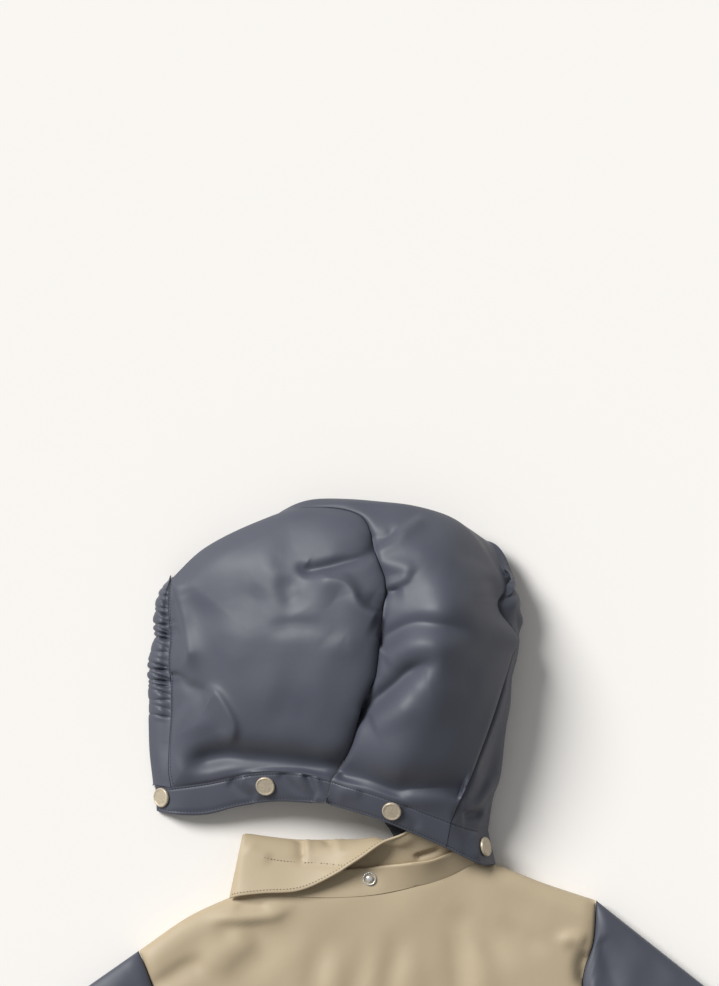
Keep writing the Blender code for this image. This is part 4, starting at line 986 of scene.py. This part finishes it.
def collar_sheet():
    """Facing side of the collar: rows from the neck seam to the free edge, columns along it."""
    neck = along(SHOULDER_LEFT[-2:] + NECK_SEAM[1:-1] + SHOULDER_RIGHT[:2], np.linspace(0, 1, 80))
    lines = []
    for (seam_x, seam_z), roll, free, curl in COLLAR_STATIONS:
        seam_y = np.interp(seam_x, neck[:, 0], neck[:, 1]) + 2 * SEAM_GAP
        seam, roll, free = (np.array(point, float) for point in ((seam_x, seam_y, seam_z), roll, free))
        before = seam + (0.5 + 0.32 * curl) * (roll - seam) - (0, 0, COLLAR_SAG * curl)
        after = roll + (0.5 - 0.3 * curl) * (free - roll) + (0, 0, COLLAR_BULGE * curl)
        lines.append((seam, before, roll, after, free))
    across = catmull_rom(np.array(lines), COLLAR_FINE)
    return catmull_rom(np.swapaxes(across, 0, 1), COLLAR_ACROSS)


def build_collar(cloth):
    """The collar's wall; its facing shows on the turned-down wing."""
    facing = collar_sheet()
    from_roll = np.arange(len(facing))[:, None] / (4 * COLLAR_ACROSS)
    wing = smooth((from_roll - 0.5) / 0.12)
    facing = facing - grid_normals(facing) * (wing * fold_relief(facing, WING_FOLDS))[..., None]
    reach = np.linalg.norm(facing - facing[-1:], axis=-1)
    ply = COLLAR_EDGE_PLY + (COLLAR_PLY - COLLAR_EDGE_PLY) * smooth(reach / COLLAR_EDGE_REACH)
    ply -= STITCH_SINK * bump_at(reach - COLLAR_STITCH, STITCH_SINK_WIDTH)
    outer = facing + grid_normals(facing) * ply[..., None]
    outer[0] = facing[0] + (0, 0, COLLAR_PLY)
    slit = fold_relief(outer, SLIT_FOLDS) * (from_roll < 0.5)
    dented = outer + grid_normals(outer) * slit[..., None]
    closed_wall("collar", dented, facing, cloth, free=("top", "left", "right"), bulge=0.3)
    return facing, outer


def build_collar_front(cloth):
    """The collar's front half, flat under the neck, lifted over the hood's band at its right."""
    steps = spread(48)
    neck = np.concatenate((along(FRONT_NECK_LEFT, steps), along(FRONT_NECK_RIGHT, steps)))
    neck = neck + (0, 2 * SEAM_GAP)
    top = along(COLLAR_FRONT_TOP, np.linspace(0, 1, len(neck)))
    grid = coons(neck, top, np.linspace(neck[0], top[0], 40), np.linspace(neck[-1], top[-1], 40))
    along_x, along_y = (smooth((grid[..., axis] - COLLAR_FRONT_RISE[axis]) / COLLAR_FRONT_RISE_REACH)
                        for axis in (0, 1))
    raised = along_x * along_y
    lift = COLLAR_FRONT_LIFT * raised
    ply = COLLAR_FRONT_PLY + (COLLAR_FRONT_THIN - COLLAR_FRONT_PLY) * raised
    closed_wall("collar_front", with_z(grid, lift + ply), with_z(grid, lift), cloth,
                free=("top", "left", "right"), bulge=0.3)


def stud_column(band):
    return int(np.argmin(np.abs(band[STUD_ROW, :, 0] - STUD_X)))


def build_neck_band(collar_outer, cloth):
    """The strip over the collar's foot, made from the collar's own points, moved out."""
    start, end = (int(round(station * COLLAR_FINE)) for station in NECK_BAND_STATIONS)
    wanted = np.linspace(0, NECK_BAND_WIDTH, 19)
    foot = np.stack([at_places(collar_outer[:, k], wanted) for k in range(start, end + 1)], 1)
    normals = grid_normals(foot)
    normals[0] = UP
    upwards = np.linspace(0, 1, len(foot))[:, None] ** 2
    slit = SLIT_LIFT * bump_at(foot[..., 0] - SLIT_X, SLIT_HALF_LENGTH)
    under = foot + normals * (NECK_BAND_GAP + (slit + NECK_BAND_FREE_GAP) * upwards)[..., None]
    over = under + normals * NECK_BAND_PLY
    from_stud = np.linalg.norm(over[..., :2] - over[STUD_ROW, stud_column(over), :2], axis=-1)
    over = over - normals * (STUD_DIMPLE * bump_at(from_stud, STUD_DIMPLE_REACH))[..., None]
    for skin in (over, under):
        skin[0, :, 1] -= NECK_BAND_SEAM_SHIFT
    closed_wall("neck_band", over, under, cloth, free=("top", "left", "right"))
    return over, normals


# ---- hood


def swell(count, power):
    return np.sin(np.pi * np.linspace(0, 1, count)) ** power


def finer(stations, per, across):
    """A smooth grid through rows of points, with per and across samples in each interval."""
    grid = catmull_rom(stations, per)
    return np.swapaxes(catmull_rom(np.swapaxes(grid, 0, 1), across), 0, 1)


def hood_net():
    """The hood's outer skin as grids of points: left, centre and right panels."""
    stations = np.array(HOOD_STATIONS, float)
    centre = finer(stations, FINE, ACROSS)
    crown, corner = CROWN_ROW * FINE, BACK_ROW * FINE
    mid = centre[:, 0]
    top = catmull_rom(mid[crown:][::-1], 2)
    bottom = along(HOOD_LEFT_NECK, np.linspace(0, 1, len(top)))
    left = coons(bottom, top, along(CASING_SEAM, np.linspace(0, 1, crown + 1)), mid[:crown + 1])
    rows = [(stations[k, 2], *HOOD_RIGHT_ROWS[k]) for k in range(BACK_ROW)]
    right = finer(np.array([*rows, stations[BACK_ROW:, 2]], float), FINE, FINE)
    right[:, 0] = centre[:corner + 1, -1]
    right[-1] = centre[corner:, -1]
    return left, centre, right


def seam_pillow(sheet, *seams):
    """Share of full loft at each point: 0 on a seam, 1 away from it."""
    return 1 - np.exp(-distance_to(sheet, *(seam[::3] for seam in seams)) / PILLOW_REACH)


def pull_in(sheet, seam, depths, way, reach):
    """Pulls the sheet in along a seam, most on the seam itself."""
    distance, _, place = nearest_on(sheet, seam[::2])
    depth = np.interp(place / lengths_along(seam)[-1], *np.transpose(depths))
    depth *= np.exp(-distance / reach) * smooth((sheet[..., 2] - 2) / 10)
    sheet += depth[..., None] * np.array(way)


def shape_hood():
    """The panels with the padding's swell, the folds and the pulled-in seams, on the floor."""
    left, centre, right = hood_net()
    left[..., 2] += HOOD_LEFT_PUFF * swell(left.shape[0], 0.7)[:, None] * swell(left.shape[1], 0.6)
    loft = seam_pillow(left, left[:, 0], left[:, -1], left[0], left[-1])
    fade = smooth(distance_to(left, left[0][::3]) / BAND_FADE)
    left[..., 2] += fade * fold_relief(left, HOOD_LEFT_FOLDS)
    left[..., 2] += loft * (PILLOW + HOOD_WAVES * waves(left, *LEFT_RIPPLES))
    over = smooth((centre[..., 2] - OFF_FLOOR) / OFF_FLOOR_REACH)
    ends = np.minimum(1, np.arange(centre.shape[0]) / (4 * FINE / 3))[:, None]
    loft = seam_pillow(centre, centre[:, 0], centre[:, -1], centre[0])
    fade = smooth(distance_to(centre, centre[0][::3]) / BAND_FADE)
    centre[..., 2] += CENTRE_PUFF * swell(centre.shape[1], 0.8) * over * ends
    centre[..., 2] += over * fade * fold_relief(centre, HOOD_CENTRE_FOLDS)
    rise = over * loft * (PILLOW + HOOD_WAVES * waves(centre, *CENTRE_RIPPLES))
    centre += grid_normals(centre) * rise[..., None]
    rise = fold_relief(right, HOOD_RIGHT_FOLDS) + HOOD_WAVES * waves(right, *RIGHT_RIPPLES)
    rise *= smooth(right[..., 2] / 12) * seam_pillow(right, right[:, 0])
    right += grid_normals(right) * rise[..., None]
    from_bulge = np.linalg.norm(right[..., :2] - RIGHT_BULGE_AT, axis=-1)
    right[..., 0] += (RIGHT_BULGE * seam_pillow(right, right[:, 0], right[-1])
                      * bump_at(from_bulge, RIGHT_BULGE_REACH))
    mid, rear = centre[:, 0].copy(), centre[:BACK_ROW * FINE + 1, -1].copy()
    for sheet in (left, centre):
        pull_in(sheet, mid, MID_SEAM_BENDS, (1, 0, 0), BEND_REACH)
    pull_in(left, mid, MID_SEAM_SINK, MID_SEAM_WAY, LEFT_PULL)
    pull_in(centre, mid, MID_SEAM_SINK, MID_SEAM_WAY, MID_PULL)
    pull_in(centre, rear, REAR_SEAM_SINK, REAR_SEAM_WAY, REAR_PULL)
    pull_in(right, rear, REAR_SEAM_SINK, REAR_SEAM_WAY, RIGHT_PULL)
    for sheet in (left, centre, right):
        sheet[..., 2] = np.maximum(sheet[..., 2], 0)
    return {"hood_left": left, "hood_centre": centre, "hood_right": right}


def add_bands(sheets):
    """The neck band's three lengths, rows from the lower edge to the panels."""
    end = np.linspace(*BAND_LEFT_END, 12)[:-1]
    tops = (np.concatenate((end, sheets["hood_left"][0])), sheets["hood_centre"][0],
            sheets["hood_right"][0])
    steps = np.array(BAND_STEPS)[:, None, None]
    for (name, low), top in zip(BAND_LOWS.items(), tops):
        reached = lengths_along(top)
        if name == "hood_band_right":
            low = catmull_rom(low, FINE)
        else:
            low = along(low, reached / reached[-1])
        sheet = low + steps * (top - low)
        lift = 0.8 * np.clip(0.5 * (low + top)[:, 2] / 20 - 0.5, 0, 1)
        sheet[..., 2] += lift * 4 * (steps * (1 - steps))[..., 0]
        raised = smooth(sheet[..., 2] / 8 - 0.5)
        sheet[..., 2] += raised * fold_relief(sheet, BAND_FOLDS)
        for line in BAND_STITCH_ROWS:
            near = np.abs(np.array(BAND_STEPS) - line) < 0.03
            sheet[near, :, 2] -= BAND_STITCH_SINK * raised[near]
        sheets[name] = sheet


def build_hood(cloth):
    """All panels and bands as padded walls, thinner at their seams, and both casings."""
    sheets = shape_hood()
    add_bands(sheets)
    normals = {name: grid_normals(sheet) for name, sheet in sheets.items()}
    for name, sheet in sheets.items():
        band = "band" in name
        seams = (edge[::4] for edge in (sheet[0], sheet[-1], sheet[:, 0], sheet[:, -1]))
        full = (BAND_PLY if band else HOOD_PLY) - SEAM_PLY
        ply = SEAM_PLY + full * smooth(distance_to(sheet, *seams) / SEAM_PLY_REACH)
        skins = draw_in(sheet, sheet - normals[name] * ply[..., None], normals[name],
                        ("left", "right"), HOOD_SEAM_GAP / 2)
        free = ("bottom", "left") if name == "hood_band_left" else ("bottom",)
        closed_wall(name, *skins, cloth, free=free if band else ())
    build_casing(sheets["hood_left"][:, 0], normals["hood_left"][:, 0], cloth)
    build_far_casing(cloth)
    return sheets, normals


def refine(line):
    """The polyline with a point added in the middle of every interval."""
    count = len(line)
    wanted = np.linspace(0, count - 1, 2 * count - 1)
    return np.stack([np.interp(wanted, np.arange(count), column) for column in line.T], 1)


def build_casing(seam, normals, cloth):
    """The gathered casing along the near side of the face opening."""
    seam_out, seam_in = refine(seam), refine(seam - normals * SEAM_PLY)
    count = len(seam_out)
    edge = along(CASING_EDGE, np.linspace(0, 1, count))
    reach = np.linspace(0, lengths_along(edge)[-1], count)
    full = CASING_PLAIN + (1 - CASING_PLAIN) * smooth((reach - CASING_PLAIN_END) / 10)
    shares = np.linspace(0, 1, CASING_LINES)
    upper, lower = [], []
    for share, crest in zip(shares, np.interp(shares, *np.transpose(CASING_PROFILE))):
        depth = np.zeros(count)
        for number, (place, width, deep) in enumerate(GATHERS):
            slant = GATHER_SLANT * math.sin(2.4 * number) * (share - 0.5)
            depth += deep * bump_at(reach - place - slant, width, GATHER_CREST)
        line = seam_out + share * (edge - seam_out)
        floor = seam_in + share * (edge - seam_out)
        for skin in (line, floor):
            skin[:, 0] += GATHER_DRAW * share * depth
        line[:, 2] += crest * full - depth * GATHER_SINK * math.sin(math.pi * min(share * 1.2, 1))
        floor[:, 2] = np.maximum(seam_in[:, 2] * (1 - 4 * share), 0)
        line[:, 2] = np.maximum(line[:, 2], floor[:, 2] + 1)
        upper.append(line)
        lower.append(floor)
    upper, lower = (np.swapaxes(np.array(skin)[::-1], 0, 1) for skin in (upper, lower))
    skins = draw_in(upper, lower, grid_normals(upper), ("right", "bottom"), SEAM_GAP)
    closed_wall("hood_casing", *skins, cloth, free=("left",))


def build_far_casing(cloth):
    """The casing of the far side, on the floor under the hood."""
    line = catmull_rom(FAR_CASING_LINE, FINE)
    run = unit(np.gradient(line, axis=0))
    across = np.stack((run[:, 1], -run[:, 0], run[:, 2]), 1)
    reach = lengths_along(line)
    ripples = FAR_CASING_RIPPLE * (1 + np.sin(reach / 1.6 + 2 * np.sin(reach / 9)))
    rows = []
    for share in np.linspace(0, 1, FAR_CASING_LINES):
        row = line + across * (FAR_CASING_GAP + share * FAR_CASING_WIDTH)
        rows.append(with_z(row, FAR_CASING_TOP - 1.2 * abs(2 * share - 1) ** 3 - ripples))
    rows = np.array(rows)
    closed_wall("hood_casing_far", rows, with_z(rows, 0), cloth, free=("top",))


# ---- small metal parts and stitching


def build_hood_snaps(sheets, normals, cap_metal):
    """Five caps along the middle of the band."""
    middle = BAND_STEPS.index(0.5)
    for number, (name, share, raised) in enumerate(HOOD_SNAPS, 1):
        line = sheets[name][middle] + raised * (sheets[name][-1] - sheets[name][middle])
        wanted = (share * lengths_along(line)[-1],)
        axis = unit(at_places(line, wanted, normals[name][middle])[0])
        turned(f"hood_cap_{number}", f"hood_snap_{number}", CAP_PROFILE, cap_metal,
               at_places(line, wanted)[0] + axis * CAP_SEAT, axis)


def line_on(sheet, normals, distance, from_end=False):
    """A line at a distance from the sheet's first row, or from its last, with its normals."""
    points, facing = [], []
    for line, normal in zip(np.swapaxes(sheet, 0, 1), np.swapaxes(normals, 0, 1)):
        place = (lengths_along(line)[-1] - distance if from_end else distance,)
        points.append(at_places(line, place)[0])
        facing.append(at_places(line, place, normal)[0])
    return np.array(points), unit(np.array(facing))


def resting_on(sheet, normals, plan_line):
    """A plan line laid on the nearest points of a sheet, with the sheet's normals."""
    fine = along(plan_line, np.linspace(0, 1, 60))
    points, facing = sheet.reshape(-1, 3), normals.reshape(-1, 3)
    nearest = [int(np.argmin(np.sum((points[:, :2] - place) ** 2, axis=1))) for place in fine]
    return with_z(fine, points[nearest, 2]), facing[nearest]


def build_stitches(sheets, normals, collar_facing, cuffs):
    """Threads of the hood's band and casing, the cuffs, the collar's edge and the wing."""
    # Both kinds of thread are darkened as painted shade of their stitch holes.
    blue_rows = []
    for name in BAND_LOWS:
        reach = slice(2 * FINE if name == "hood_band_right" else None)
        sheet, facing = sheets[name][:, reach], normals[name][:, reach]
        blue_rows += [line_on(sheet, facing, BAND_LOW_STITCH),
                      line_on(sheet, facing, BAND_TOP_STITCH, from_end=True)]
    left, facing = (np.swapaxes(part["hood_left"], 0, 1)[:, 2:-3] for part in (sheets, normals))
    blue_rows.append(line_on(left, facing, CASING_STITCH))
    add_stitches("hood_stitches", blue_rows + cuffs, finish("greyblue_thread_painted_shade"))
    out = -grid_normals(collar_facing)
    span, wing = slice(2, int(8.2 * COLLAR_FINE)), slice(2 * COLLAR_ACROSS + 4, None)
    beige_rows = [line_on(collar_facing[:, span], out[:, span], COLLAR_STITCH, from_end=True),
                  resting_on(collar_facing[wing], out[wing], WING_STITCHES)]
    add_stitches("collar_stitches", beige_rows, finish("beige_thread_painted_shade"))


# ---- stage, light and camera


def link(name, data, location=(0, 0, 0), rotation=(0, 0, 0)):
    """An object in the scene, turned by angles in degrees."""
    made = bpy.data.objects.new(name, data)
    made.location = location
    made.rotation_euler = [math.radians(angle) for angle in rotation]
    bpy.context.scene.collection.objects.link(made)
    return made


def build_stage():
    """A plain floor, soft light from the upper left of the picture, and the camera."""
    mesh = bpy.data.meshes.new("floor")
    corners = [(x * FLOOR_HALF, y * FLOOR_HALF, 0) for x, y in ((-1, -1), (1, -1), (1, 1), (-1, 1))]
    mesh.from_pydata(corners, [], [(0, 1, 2, 3)])
    mesh.materials.append(finish("floor_paint"))
    link("floor", mesh, (0, 0, -FLOOR_GAP))
    light = bpy.data.lights.new("window", "SUN")
    light.energy = SUN_STRENGTH
    light.angle = math.radians(SUN_SPREAD)
    link("window", light, rotation=(SUN_TILT, 0, SUN_HEADING + 90))
    world = bpy.data.worlds.new("room")
    world.use_nodes = True
    background = world.node_tree.nodes["Background"]
    background.inputs["Color"].default_value = (*SKY, 1)
    background.inputs["Strength"].default_value = SKY_STRENGTH
    bpy.context.scene.world = world
    data = bpy.data.cameras.new("camera")
    data.sensor_width = SENSOR
    data.lens = SENSOR * CAMERA_DISTANCE / VIEW_HEIGHT
    data.clip_end = 100
    place = (VIEW_CENTRE[0] * MM, VIEW_CENTRE[1] * MM, CAMERA_DISTANCE * MM)
    bpy.context.scene.camera = link("camera", data, place, (0, 0, VIEW_TURN))
    bpy.context.scene.view_settings.view_transform = "Standard"


def main():
    build_stage()
    beige, blue, cap_metal = (finish(name) for name in ("beige_cloth", "greyblue_cloth", "tan_cap"))
    _, _, left, right = body_outline()
    half = PLACKET_WIDTH / 2
    build_back(beige)
    build_front("front_left", FRONT_NECK_LEFT, SHOULDER_LEFT, left, CENTRE_X - half, beige)
    build_front("front_right", FRONT_NECK_RIGHT, SHOULDER_RIGHT, right, CENTRE_X + half, beige)
    build_placket(beige, cap_metal)
    underarm = SIDE_STEPS - 1
    cuffs = [build_sleeve("sleeve_left", left[underarm:], blue),
             build_sleeve("sleeve_right", right[underarm:], blue)]
    collar_facing, collar_outer = build_collar(beige)
    build_collar_front(beige)
    band, band_normals = build_neck_band(collar_outer, beige)
    sheets, normals = build_hood(blue)
    build_hood_snaps(sheets, normals, cap_metal)
    place = (STUD_ROW, stud_column(band))
    turned("neck_stud_metal", "neck_stud", STUD_PROFILE, finish("bright_stud"),
           band[place] + STUD_SEAT * band_normals[place], band_normals[place])
    build_stitches(sheets, normals, collar_facing, cuffs)


main()
